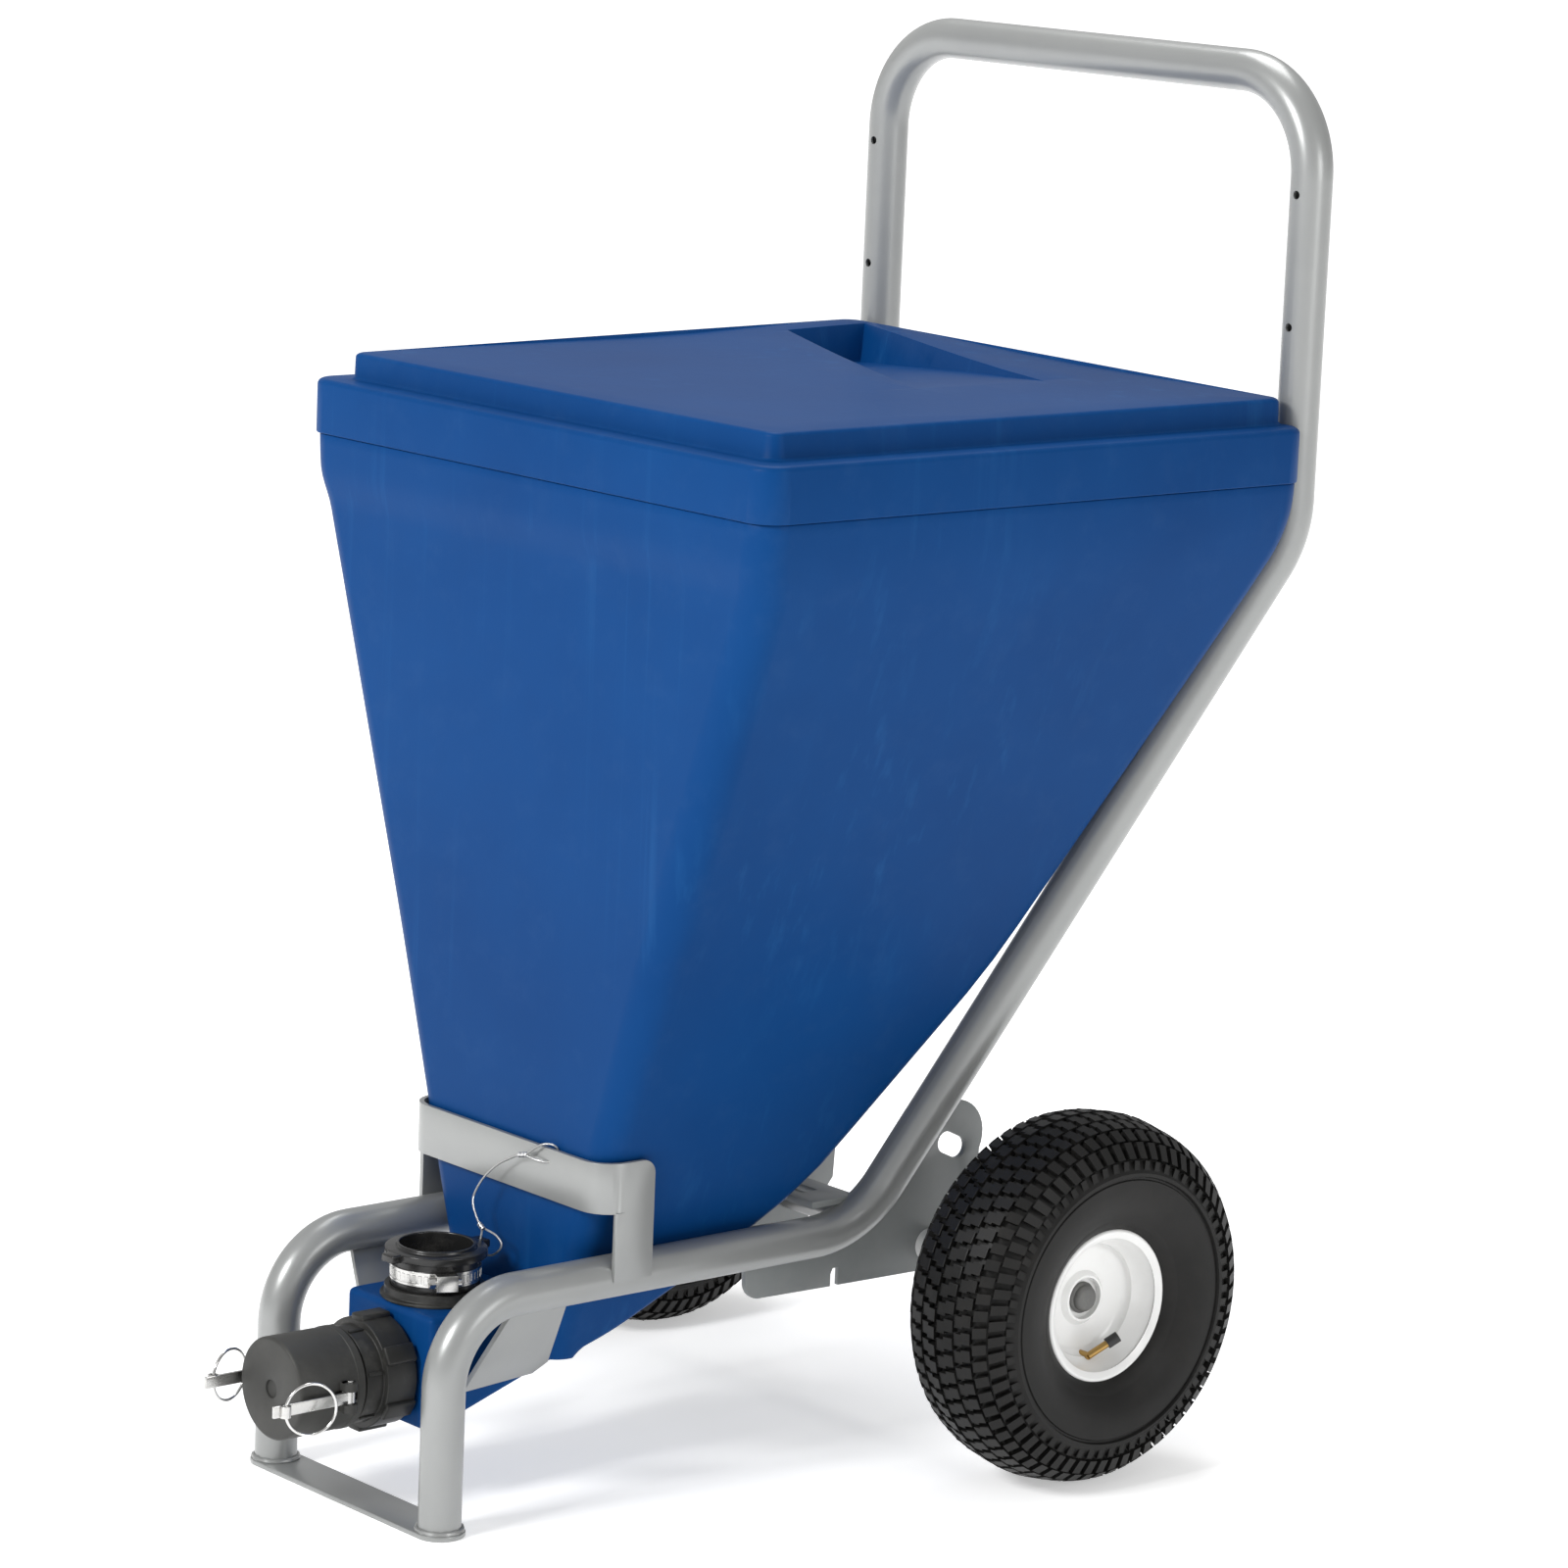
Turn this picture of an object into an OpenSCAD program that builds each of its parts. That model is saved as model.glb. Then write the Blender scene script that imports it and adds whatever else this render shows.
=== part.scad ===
// Two-wheeled material hopper cart: a tapered plastic hopper with a lift-off lid,
// a bottom outlet box with two hose ports, and a bent tube frame on turf tyres.
// Millimetres, +Z up, the outlet end faces -Y and the handle stands at +Y.

/* [Frame] */
// Outside diameter of the frame tube
tube_od = 31.8; // [28:0.2:34]
// Wall thickness of the frame tube
tube_wall = 2; // [1.5:0.1:3]
// Distance from the axle forward to the front feet
foot_reach = 478; // [460:1:490]
// Distance from the axle back to the handle posts
post_reach = 197; // [190:1:205]
// Distance of each lower rail from the centre plane
rail_x = 101; // [99:1:104]
// Height of the lower rails' centre line
rail_z = 170; // [168:1:172]
// Distance of each handle post from the centre plane
post_x = 238; // [232:1:244]
// Height of the handle bar's centre line
handle_z = 1046; // [980:1:1080]
// Centre line radius of the handle bends
handle_bend = 75; // [65:1:85]
// Height of the lower pair of handle holes
hole_low_z = 860; // [850:1:880]
// Spacing of the handle holes along each post
hole_pitch = 99; // [90:1:105]
// Diameter of the handle holes
hole_d = 6.5; // [5.5:0.1:7]

/* [Wheels] */
// Outside diameter of the tyre, which sets the axle height
tyre_od = 282; // [278:1:284]
// Width of the tyre
tyre_w = 105; // [98:1:108]
// Distance of each wheel's middle from the centre plane
wheel_x = 250; // [248:1:254]
// Diameter of the axle
axle_d = 19; // [17:0.5:20]

/* [Hopper] */
// Half the width of the lid and of the hopper's top band
lid_half_w = 270; // [268:1:272]
// Height of the top band's upper edge
band_top_z = 747; // [745:1:749]
// Wall thickness of the hopper and the lid
skin = 5; // [4:0.5:6]
// Height of the lid's skirt
skirt_h = 41; // [38:1:44]
// Height of the raised panel above the skirt
panel_h = 20; // [18:1:22]
// Greatest depth of the lid's finger scoop
scoop_depth = 25; // [20:1:26]

/* [Outlets] */
// Height of the front port's axis
port_z = 96; // [95:1:98]
// Bore of both hose ports
port_bore = 50; // [48:0.5:51]
// Outside diameter of the dust cap
cap_od = 76; // [75:0.5:78]
// Diameter of the wire of the pull rings
ring_wire = 2.2; // [2:0.1:2.5]
// Diameter of the lanyard's wire rope
lanyard_d = 1.6; // [1.4:0.1:2]

/* [Hidden] */
$fn = 64;
tube_r = tube_od / 2;
lever_reach = 585;
axle_y = (lever_reach - post_reach - tube_r) / 2;
axle_z = tyre_od / 2;
foot_y = axle_y - foot_reach;
post_y = axle_y + post_reach;

// Frame: one tube each side from foot to post, and the handle above them
skid_t = 4;
skid_r = 19;
front_bend = 62;
rear_bend = 70;
post_bend = 100;
rear_corner_y = axle_y - 90;
post_corner_z = 702;
plate_t = 5;
foot_point = [rail_x, foot_y, skid_t];
front_corner = [rail_x, foot_y, rail_z];
rear_corner = [rail_x, rear_corner_y, rail_z];
post_corner = [post_x, post_y, post_corner_z];

// Hopper: level sections of the tapered body, as [height, half width, back face]
front_face_y = axle_y - 347;
lid_front_y = axle_y - 353;
lid_back_y = axle_y + 180;
taper_foot_z = 95;
taper_top_z = 712;
taper_foot_w = 57;
taper_top_w = 267.8;
taper = (taper_top_w - taper_foot_w) / (taper_top_z - taper_foot_z);
function half_w(z) = taper_foot_w + taper * (z - taper_foot_z);
body_sections = [
    [taper_foot_z, axle_y - 325],
    [119, axle_y - 262],
    [205, axle_y - 130],
    [372, axle_y - 1],
    [taper_top_z, axle_y + 178]
];
body_corner = 20;
section_t = 0.01;
band_foot_z = 711;
upstand_in = 6.5;
upstand_h = 16;
box_front_y = axle_y - 453;
box_half_w = 52;
box_top_z = 144;
box_foot_z = 57;

// Lid
lid_gap = 0.4;
lid_z = band_top_z + lid_gap;
ledge_z = lid_z + skirt_h;
panel_top_z = ledge_z + panel_h;
lid_corner = 22;
panel_inset = 22.5;
panel_back_inset = 6;
panel_corner = 12;
scoop_left_x = -215;
scoop_right_x = 96;
scoop_front_y = axle_y + 78;
scoop_back_y = axle_y + 160;
scoop_drift = 93;

// Front port: adapter, dust cap, levers and rings, along -Y
nut_t = 26;
collar_t = 15;
washer_t = 3;
nut_y = box_front_y - washer_t;
boss_r = 31.5;
boss_end_y = axle_y - 547;
cap_open_y = axle_y - 499;
cap_face_y = axle_y - 557;
cap_face_t = 6;
cap_bore_r = boss_r + 0.6;
cap_r = cap_od / 2;
groove_y = axle_y - 517;
groove_r = 28;
groove_w = 16;
lever_x = 41.5;
lever_y = groove_y;
lever_z = port_z - 2;
lever_t = 2.5;
lever_h = 9;
pin_r = 2.5;
pin_clear = 0.05;
cam_r = 6;
cam_in = 3.2;
arm_x = lever_x - 0.5;
eye_x = lever_x + 3.5;
eye_r = 4;
eye_bore_r = 2;
ring_lean = 17;
lug_r = 6;
lug_h = 6;
lever_tip_y = axle_y - lever_reach;
eye_y = lever_tip_y + 9;
ring_r = 19;

// Top port, standing on the outlet box
port_y = axle_y - 411;
port_nut_r = 40.5;
port_nut_h = 9;
sleeve_r = 33;
band_r = sleeve_r + 0.8;
flange_z = 171;
flange_t = 6;
flange_r = 38;
lip_r = 30;
lip_z = 184;
ear_reach = 45;
band_z = 158;
band_h = 11;
screw_r = 3;

// Strap round the hopper's front
strap_w = 114.5;
strap_t = 4;
strap_gap = 1.8;
strap_z = 221;
strap_h = 38;
strap_corner = 20;
leg_back_y = axle_y - 303;
leg_front_y = axle_y - 338;
strap_hole = [57, 249];
strap_hole_r = 3.5;
notch_w = 8;
notch_h = 24;
notch_top_z = 136;

// Wheels
rim_r = 58.5;
rim_face = 36;
bead_r = 51;
disc_x = 6.5;
hub_r = 17;
hub_half = 34;
axle_clear = 0.05;
axle_end_x = wheel_x + 7;
tyre_wall = 8;
valve_z = -43;

// Lanyard from the strap's hole to the top port's rear ear
lanyard_route = [
    [28, -173, 249],
    [10, -176, 239],
    [-3, -179, 227],
    [-12, -181, 213],
    [-13, -182, 204],
    [-9, -182, 196],
    [-6, -181, 190]
];
strap_loop_route = [
    [37, -172, 252], [51, -170, 261.5], [59, -166, 262.5], [60.5, -162.2, 258.5],
    [59, -162.2, 252.5], [57.3, -163, 249.4], [55.5, -167, 248.8], [48, -170.5, 249],
    [37, -172, 250]
];
ear_loop_route = [
    [0.5, -180, 187], [10, -178, 184.5], [16.5, -177.5, 180], [15.5, -178, 174.5],
    [10, -180, 169.5], [4, -183, 168.8], [0.3, -184.4, 171], [0, -184.4, 177.5],
    [-1.2, -182.5, 182.5], [-2.2, -181, 186]
];
ferrule_ends = [[37, -172, 251], [-1, -180.5, 186.5]];
lanyard_sides = 8;
lanyard_steps = 4;
loop_steps = 3;
ferrule_r = 2.2;

// ---- helpers -------------------------------------------------------------

function unit(v) = v / norm(v);

function bend_angle(p, q, s) = acos(unit(q - p) * unit(s - q));

// Length that a bend takes from each of the two straights that it joins
function setback(p, q, s, bend) = bend * tan(bend_angle(p, q, s) / 2);

module rod(p, q, r) {
    along = q - p;
    translate(p)
        rotate([0, acos(along.z / norm(along)), atan2(along.y, along.x)])
            cylinder(h = norm(along), r = r);
}

// Direction square to along that leans towards target
function lean(target, along) = unit(target - (target * along) * along);

// A quarter-ring bend that starts at the origin along +Z and turns towards +X
module turn_bar(bend, angle, r) {
    translate([bend, 0, 0])
        mirror([1, 0, 0])
            rotate([90, 0, 0])
                rotate_extrude(angle = angle)
                    translate([bend, 0])
                        circle(r);
}

module elbow(p, q, s, bend, r) {
    into = unit(q - p);
    side = lean(unit(s - q), into);
    normal = cross(into, side);
    start = q - into * setback(p, q, s, bend);
    multmatrix([
        [side.x, normal.x, into.x, start.x],
        [side.y, normal.y, into.y, start.y],
        [side.z, normal.z, into.z, start.z],
        [0, 0, 0, 1]
    ])
        turn_bar(bend, bend_angle(p, q, s), r);
}

// A round bar along a flat path of corner points, with one bend radius for its corners
module bent_bar(path, bend, r, over = 0) {
    last = len(path) - 1;
    for (i = [0 : last - 1]) {
        p = path[i];
        q = path[i + 1];
        back = i == 0 ? -over : setback(path[i - 1], p, q, bend);
        front = i == last - 1 ? -over : setback(p, q, path[i + 2], bend);
        rod(p + unit(q - p) * back, q - unit(q - p) * front, r);
    }
    for (i = [1 : last - 1])
        elbow(path[i - 1], path[i], path[i + 1], bend, r);
}

// Points of a rectangle with round corners, half_w each side of x = 0
function rounded(half_w, y0, y1, front_r, back_r, steps = 6) = [
    for (c = [[1, 1, 0], [-1, 1, 90], [-1, -1, 180], [1, -1, 270]])
        for (k = [0 : steps])
            let (a = c[2] + 90 * k / steps, r = c[1] > 0 ? back_r : front_r)
                [c[0] * (half_w - r) + r * cos(a), (c[1] > 0 ? y1 - r : y0 + r) + r * sin(a)]
];

module slab(half_w, y0, y1, r, z, h) {
    translate([0, 0, z])
        linear_extrude(h)
            polygon(rounded(half_w, y0, y1, r, r));
}

// An outline drawn in Y and Z, given thickness along X from x0
module side_plate(x0, t) {
    translate([x0, 0, 0])
        rotate([90, 0, 90])
            linear_extrude(t)
                children();
}

module mirrored(side) {
    if (side > 0)
        children();
    else
        mirror([1, 0, 0])
            children();
}

// A revolved outline of [radius, offset] points about the X axis at the wheel
module about_axle() {
    translate([wheel_x, axle_y, axle_z])
        rotate([0, 90, 0])
            children();
}

// A cylinder along -Y from y, on the front port's axis
module along_port(y, length, r) {
    translate([0, y, port_z])
        rotate([90, 0, 0])
            cylinder(h = length, r = r);
}

// ---- frame ---------------------------------------------------------------

diagonal_way = unit(post_corner - rear_corner);
rear_setback = setback(front_corner, rear_corner, post_corner, rear_bend);
post_setback = setback(rear_corner, post_corner, post_corner + [0, 0, 1], post_bend);
rail_end = rear_corner - [0, rear_setback, 0];
lower_path = [foot_point, front_corner, rail_end];
post_foot_z = post_corner_z + post_setback;
handle_path = [
    [-post_x, post_y, post_foot_z],
    [-post_x, post_y, handle_z],
    [post_x, post_y, handle_z],
    [post_x, post_y, post_foot_z]
];

// Foot, front bend and rail of one side
module lower_tube(side) {
    color("darkgray")
        mirrored(side)
            difference() {
                bent_bar(lower_path, front_bend, tube_r);
                bent_bar(lower_path, front_bend, tube_r - tube_wall, 1);
            }
}

// The straight diagonal and the bend that joins it to the rail
module diagonal_bar(r, over = 0) {
    rail_lean = lean([0, -1, 0], diagonal_way);
    across = cross(diagonal_way, rail_lean);
    start = rear_corner + diagonal_way * rear_setback;
    length = norm(post_corner - rear_corner) - rear_setback - post_setback;
    multmatrix([
        [rail_lean.x, across.x, diagonal_way.x, start.x],
        [rail_lean.y, across.y, diagonal_way.y, start.y],
        [rail_lean.z, across.z, diagonal_way.z, start.z],
        [0, 0, 0, 1]
    ]) {
        cylinder(h = length + over, r = r);
        mirror([0, 0, 1])
            turn_bar(rear_bend, bend_angle(front_corner, rear_corner, post_corner) + over, r);
    }
}

module diagonal_tube(side) {
    color("darkgray")
        mirrored(side)
            difference() {
                diagonal_bar(tube_r);
                diagonal_bar(tube_r - tube_wall, 1);
            }
}

// The bend from the diagonal up into the handle post
module post_bend_tube(side) {
    post_lean = lean([0, 0, 1], diagonal_way);
    across = cross(diagonal_way, post_lean);
    start = post_corner - diagonal_way * post_setback;
    color("darkgray")
        mirrored(side)
            multmatrix([
                [post_lean.x, across.x, diagonal_way.x, start.x],
                [post_lean.y, across.y, diagonal_way.y, start.y],
                [post_lean.z, across.z, diagonal_way.z, start.z],
                [0, 0, 0, 1]
            ])
                translate([post_bend, 0, 0])
                    mirror([1, 0, 0])
                        rotate([90, 0, 0])
                            rotate_extrude(angle = acos(diagonal_way.z))
                                translate([post_bend, 0])
                                    difference() {
                                        circle(tube_r);
                                        circle(tube_r - tube_wall);
                                    }
}

// Solid bars of one side's tubes, used to trim the plates welded to them
module trim_bars(side) {
    mirrored(side) {
        bent_bar(lower_path, front_bend, tube_r);
        diagonal_bar(tube_r);
    }
}

module handle_tube() {
    color("darkgray")
        difference() {
            bent_bar(handle_path, handle_bend, tube_r);
            bent_bar(handle_path, handle_bend, tube_r - tube_wall, 1);
            for (x = [-post_x, post_x])
                for (z = [hole_low_z, hole_low_z + hole_pitch])
                    translate([x, post_y, z])
                        rotate([90, 0, 0])
                            cylinder(h = 2 * tube_od, d = hole_d, center = true);
        }
}

// Flat bar under both feet, with a round end under each
module skid_plate() {
    color("darkgray")
        linear_extrude(skid_t)
            polygon(rounded(rail_x + skid_r, foot_y - skid_r, foot_y + skid_r,
                            skid_r - 0.1, skid_r - 0.1, 12));
}

// Flat band round the hopper's front corners, with a leg down to each rail
module hopper_strap() {
    outer = strap_w + strap_t;
    inner_front = front_face_y - strap_gap;
    band_front = inner_front - strap_t;
    color("darkgray")
        difference() {
            union() {
                slab(outer, band_front, leg_back_y + 60, strap_corner + strap_t, strap_z, strap_h);
                for (side = [-1, 1])
                    mirrored(side)
                        side_plate(strap_w, strap_t)
                            translate([leg_front_y, rail_z])
                                square([leg_back_y - leg_front_y, strap_z - rail_z + 1]);
            }
            slab(strap_w, inner_front, leg_back_y + 60, strap_corner, strap_z - 1, strap_h + 2);
            translate([-outer - 1, leg_back_y, rail_z])
                cube([2 * outer + 2, 100, 120]);
            translate([strap_hole.x, front_face_y + 1, strap_hole.y])
                rotate([90, 0, 0])
                    cylinder(h = strap_t + 2, r = strap_hole_r);
            for (side = [-1, 1])
                mirrored(side)
                    rod(front_corner, rail_end, tube_r);
        }
}

// Flat plate that joins the rails behind the hopper's foot
module cross_plate() {
    color("darkgray")
        difference() {
            translate([-rail_x, axle_y - 134, 192])
                cube([2 * rail_x, 44, plate_t]);
            for (x = [-60, 60])
                translate([x - 15, axle_y - 122, 190])
                    cube([30, 16, plate_t + 4]);
            for (side = [-1, 1])
                trim_bars(side);
            hopper_envelope(0.3);
        }
}

// Leaning plate under each rail, which cradles the hopper's foot
module cradle_plate(side) {
    lean = 31;
    color("darkgray")
        mirrored(side)
            difference() {
                translate([rail_x - 2, 0, 158])
                    rotate([0, lean, 0])
                        side_plate(-2, 4)
                            polygon([
                                [axle_y - 415, 4], [axle_y - 427, -82],
                                [axle_y - 366, -76], [axle_y - 356, -66],
                                [axle_y - 367, 4]
                            ]);
                bent_bar(lower_path, front_bend, tube_r);
                hopper_envelope(0.3);
            }
}

// Upright plate inside each rail, which carries the axle and has a lifting ear
module rear_gusset(side) {
    color("gray")
        mirrored(side)
            difference() {
                side_plate(rail_x - tube_r - plate_t, plate_t)
                    difference() {
                        polygon([
                            [axle_y - 186, rail_z], [axle_y - 183, 137],
                            [axle_y - 178, 128], [axle_y - 168, 124],
                            [axle_y + 22, 120], [axle_y + 47, 150],
                            [axle_y + 53, 205], [axle_y + 52, 222],
                            [axle_y + 46, 236], [axle_y + 34, 247],
                            [axle_y + 20, 252], [axle_y + 8, 249],
                            [axle_y - 6, 236], [axle_y - 62, 192],
                            [axle_y - 94, rail_z]
                        ]);
                        translate([axle_y - 98, notch_top_z - notch_h])
                            square([notch_w, notch_h]);
                    }
                translate([0, axle_y, axle_z])
                    rotate([0, 90, 0])
                        cylinder(h = 200, d = axle_d);
                lifting_slot();
            }
}

// Straight slot with round ends through the ear of a rear gusset
module lifting_slot() {
    slot_r = 8.5;
    slot_half = 6.5;
    translate([0, axle_y + 21, 217])
        rotate([-25, 0, 0]) {
            for (d = [-slot_half, slot_half])
                translate([0, d, 0])
                    rotate([0, 90, 0])
                        cylinder(h = 200, r = slot_r);
            translate([0, -slot_half, -slot_r])
                cube([200, 2 * slot_half, 2 * slot_r]);
        }
}

// ---- hopper and lid ------------------------------------------------------

// The tapered body as one convex solid, grown or shrunk by g all round
module hopper_envelope(g) {
    hull()
        for (s = body_sections) {
            depth = s[1] - front_face_y + 2 * g;
            foot = s[0] == taper_foot_z;
            front_r = min(body_corner + g, depth - 1);
            back_r = min(body_corner + g, depth - front_r - 0.5);
            translate([0, 0, foot ? s[0] - g : s[0]])
                linear_extrude(section_t)
                    polygon(rounded(half_w(s[0]) + g, front_face_y - g, s[1] + g, front_r, back_r));
        }
}

module outlet_block(g) {
    side_plate(-box_half_w - g, 2 * (box_half_w + g))
        polygon([
            [box_front_y - g, box_foot_z - g], [box_front_y - g, box_top_z + g],
            [front_face_y + 20, box_top_z + g], [front_face_y + 20, taper_foot_z - g + 2],
            [front_face_y, 92 - g]
        ]);
}

// Small moulded box at the hopper's foot, which carries both hose ports
module outlet_box() {
    color("royalblue")
        difference() {
            outlet_block(0);
            hopper_envelope(0);
            outlet_block(-skin);
            along_port(box_front_y + 20, 30, boss_r - 3);
            translate([0, port_y, box_top_z - 20])
                cylinder(h = 30, r = port_bore / 2 + 3);
        }
}

module hopper_tank() {
    color("royalblue")
        difference() {
            union() {
                hopper_envelope(0);
                slab(lid_half_w - 1, lid_front_y + 1, lid_back_y - 1, lid_corner,
                     band_foot_z, band_top_z - band_foot_z);
                slab(lid_half_w - upstand_in, lid_front_y + upstand_in, lid_back_y - upstand_in,
                     lid_corner - upstand_in, band_top_z, upstand_h);
            }
            hopper_envelope(-skin);
            outlet_block(-skin);
            slab(lid_half_w - upstand_in - skin, lid_front_y + upstand_in + skin,
                 lid_back_y - upstand_in - skin, lid_corner - upstand_in - skin,
                 taper_top_z - 0.5, 60);
        }
}

// Wedge below the panel: a level front edge, a sloping floor and a slanting back wall
module scoop(grow) {
    slope = atan(scoop_depth / (scoop_right_x - scoop_left_x));
    intersection() {
        translate([0, 0, panel_top_z - 2 * scoop_depth])
            linear_extrude(3 * scoop_depth)
                polygon([
                    [scoop_left_x - grow, scoop_front_y - 2 * grow],
                    [scoop_left_x - grow, scoop_back_y + 2 * grow],
                    [scoop_right_x, scoop_back_y - scoop_drift + 2 * grow],
                    [scoop_right_x, scoop_front_y - 1.5 * scoop_drift - 2 * grow]
                ]);
        translate([scoop_right_x, 0, panel_top_z - grow])
            rotate([0, -slope, 0])
                translate([-2 * lid_half_w, 0, 0])
                    cube([3 * lid_half_w, lid_back_y, 100]);
    }
}

module lid() {
    color("royalblue")
        difference() {
            union() {
                slab(lid_half_w, lid_front_y, lid_back_y, lid_corner, lid_z, skirt_h);
                slab(lid_half_w - panel_inset, lid_front_y + panel_inset,
                     lid_back_y - panel_back_inset, panel_corner, ledge_z, panel_h);
            }
            difference() {
                union() {
                    slab(lid_half_w - skin, lid_front_y + skin, lid_back_y - skin,
                         lid_corner - skin, lid_z - 1, skirt_h + 1 - skin);
                    slab(lid_half_w - panel_inset - skin, lid_front_y + panel_inset + skin,
                         lid_back_y - panel_back_inset - skin, panel_corner - skin,
                         ledge_z - skin - 1, panel_h + 1);
                }
                scoop(skin);
            }
            scoop(0);
        }
}

// ---- front port ----------------------------------------------------------

module outlet_washer() {
    color("dimgray")
        difference() {
            along_port(box_front_y, washer_t, 37);
            along_port(box_front_y + 1, washer_t + 2, boss_r);
        }
}

// Black fitting: lobed nut, collar, grooved boss and the stub inside the box
module outlet_adapter() {
    nut_r = 41;
    stub_r = boss_r - 3.1;
    color("darkslategray")
        difference() {
            union() {
                along_port(nut_y, nut_t, nut_r);
                for (a = [30 : 60 : 330])
                    translate([0, nut_y - nut_t, port_z])
                        rotate([0, a, 0])
                            translate([nut_r - 3, 0, -7])
                                cube([6, nut_t, 14]);
                along_port(nut_y - nut_t, collar_t, 36);
                along_port(nut_y - nut_t, nut_y - nut_t - boss_end_y, boss_r);
                along_port(box_front_y + 16, 20, stub_r);
            }
            along_port(groove_y + groove_w / 2, groove_w, boss_r + 1);
            along_port(box_front_y + 17, 130, port_bore / 2);
        }
    color("darkslategray")
        difference() {
            along_port(groove_y + groove_w / 2, groove_w, groove_r);
            along_port(groove_y + groove_w, 2 * groove_w, port_bore / 2);
        }
}

module lever_window(side) {
    mirrored(side)
        translate([20, lever_y - cam_r - 4, lever_z - lever_h / 2 - 0.5])
            cube([30, 2 * cam_r + 8, lever_h + 1]);
}

module dust_cap() {
    color("darkslategray")
        difference() {
            union() {
                along_port(cap_open_y, cap_open_y - cap_face_y, cap_r);
                for (side = [-1, 1])
                    mirrored(side)
                        for (z = [lever_z - lever_h / 2 - 0.5 - lug_h, lever_z + lever_h / 2 + 0.5])
                            translate([0, lever_y, z]) {
                                translate([lever_x, 0, 0])
                                    cylinder(h = lug_h, r = lug_r);
                                translate([30, -lug_r, 0])
                                    cube([lever_x - 30, 2 * lug_r, lug_h]);
                            }
            }
            along_port(cap_open_y + 1, cap_open_y - cap_face_y - cap_face_t + 1, cap_bore_r);
            along_port(cap_face_y + 1.5, 3, 6);
            for (side = [-1, 1]) {
                lever_window(side);
                mirrored(side)
                    translate([lever_x, lever_y, lever_z - 20])
                        cylinder(h = 40, r = pin_r);
            }
        }
}

module cap_gasket() {
    color("black")
        difference() {
            along_port(boss_end_y - 0.4, boss_end_y - 0.4 - cap_face_y - cap_face_t, boss_r);
            along_port(boss_end_y + 2, 10, port_bore / 2);
        }
}

// Strap-shaped lever with a cam at its pin and a rolled eye near its tip
module cam_lever(side) {
    color("silver")
        mirrored(side)
            difference() {
                translate([0, 0, lever_z - lever_h / 2]) {
                    translate([lever_x - cam_in, lever_y, 0])
                        cylinder(h = lever_h, r = cam_r);
                    translate([arm_x, lever_tip_y, 0])
                        cube([lever_t, lever_y - lever_tip_y, lever_h]);
                    translate([eye_x, eye_y, 0])
                        cylinder(h = lever_h, r = eye_r);
                }
                translate([lever_x, lever_y, lever_z - lever_h])
                    cylinder(h = 2 * lever_h, r = pin_r + pin_clear);
                translate([eye_x, eye_y, lever_z - lever_h])
                    cylinder(h = 2 * lever_h, r = eye_bore_r);
            }
}

module lever_pins() {
    color("silver")
        for (side = [-1, 1])
            mirrored(side)
                translate([lever_x, lever_y, lever_z - lever_h / 2 - lug_h - 1])
                    cylinder(h = lever_h + 2 * lug_h + 3, r = pin_r);
}

module pull_ring(side) {
    color("silver")
        mirrored(side)
            translate([eye_x, eye_y, lever_z])
                rotate([0, 0, -ring_lean])
                    translate([0, ring_r, 0])
                        rotate([0, 90, 0])
                            rotate_extrude()
                                translate([ring_r, 0])
                                    circle(ring_wire / 2, $fn = 24);
}

// ---- top port ------------------------------------------------------------

module port_nut() {
    color("black")
        translate([0, port_y, box_top_z])
            difference() {
                cylinder(h = port_nut_h, r = port_nut_r);
                translate([0, 0, -1])
                    cylinder(h = port_nut_h + 2, r = sleeve_r);
            }
}

// Rubber sleeve with an eared flange and a plain lip, open right through
module port_sleeve() {
    color("black")
        translate([0, port_y, 0])
            difference() {
                union() {
                    translate([0, 0, box_top_z])
                        cylinder(h = flange_z - box_top_z, r = sleeve_r);
                    translate([0, 0, flange_z])
                        cylinder(h = flange_t, r = flange_r);
                    translate([0, 0, flange_z])
                        cylinder(h = lip_z - flange_z, r = lip_r);
                    for (s = [-1, 1])
                        translate([-7, s > 0 ? 0 : -ear_reach, flange_z])
                            cube([14, ear_reach, flange_t]);
                }
                translate([0, 0, box_top_z - 1])
                    cylinder(h = 60, r = port_bore / 2 + 2);
                translate([0, ear_reach - 4.5, flange_z - 1])
                    cylinder(h = flange_t + 2, r = 2);
            }
}

module clamp_band() {
    color("silver")
        translate([0, port_y, band_z])
            difference() {
                cylinder(h = band_h, r = band_r);
                translate([0, 0, -1])
                    cylinder(h = band_h + 2, r = sleeve_r);
            }
}

module clamp_housing() {
    color("silver")
        translate([0, port_y, band_z])
            rotate([0, 0, -25])
                translate([band_r - 1.5, -8, -0.5])
                    difference() {
                        cube([10, 16, band_h + 1]);
                        translate([5.5, -1, (band_h + 1) / 2])
                            rotate([-90, 0, 0])
                                cylinder(h = 18, r = screw_r);
                        translate([1.5 - band_r, 8, -1])
                            cylinder(h = band_h + 4, r = band_r);
                    }
}

// Worm screw with a slotted hexagon head
module clamp_screw() {
    color("silver")
        translate([0, port_y, band_z])
            rotate([0, 0, -25])
                translate([band_r + 4, -13, band_h / 2])
                    rotate([-90, 0, 0])
                        difference() {
                            union() {
                                cylinder(h = 24, r = screw_r);
                                cylinder(h = 4.5, r = 4.2, $fn = 6);
                            }
                            translate([-5, -0.6, -1])
                                cube([10, 1.2, 2.5]);
                        }
}

// ---- lanyard -------------------------------------------------------------

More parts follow.
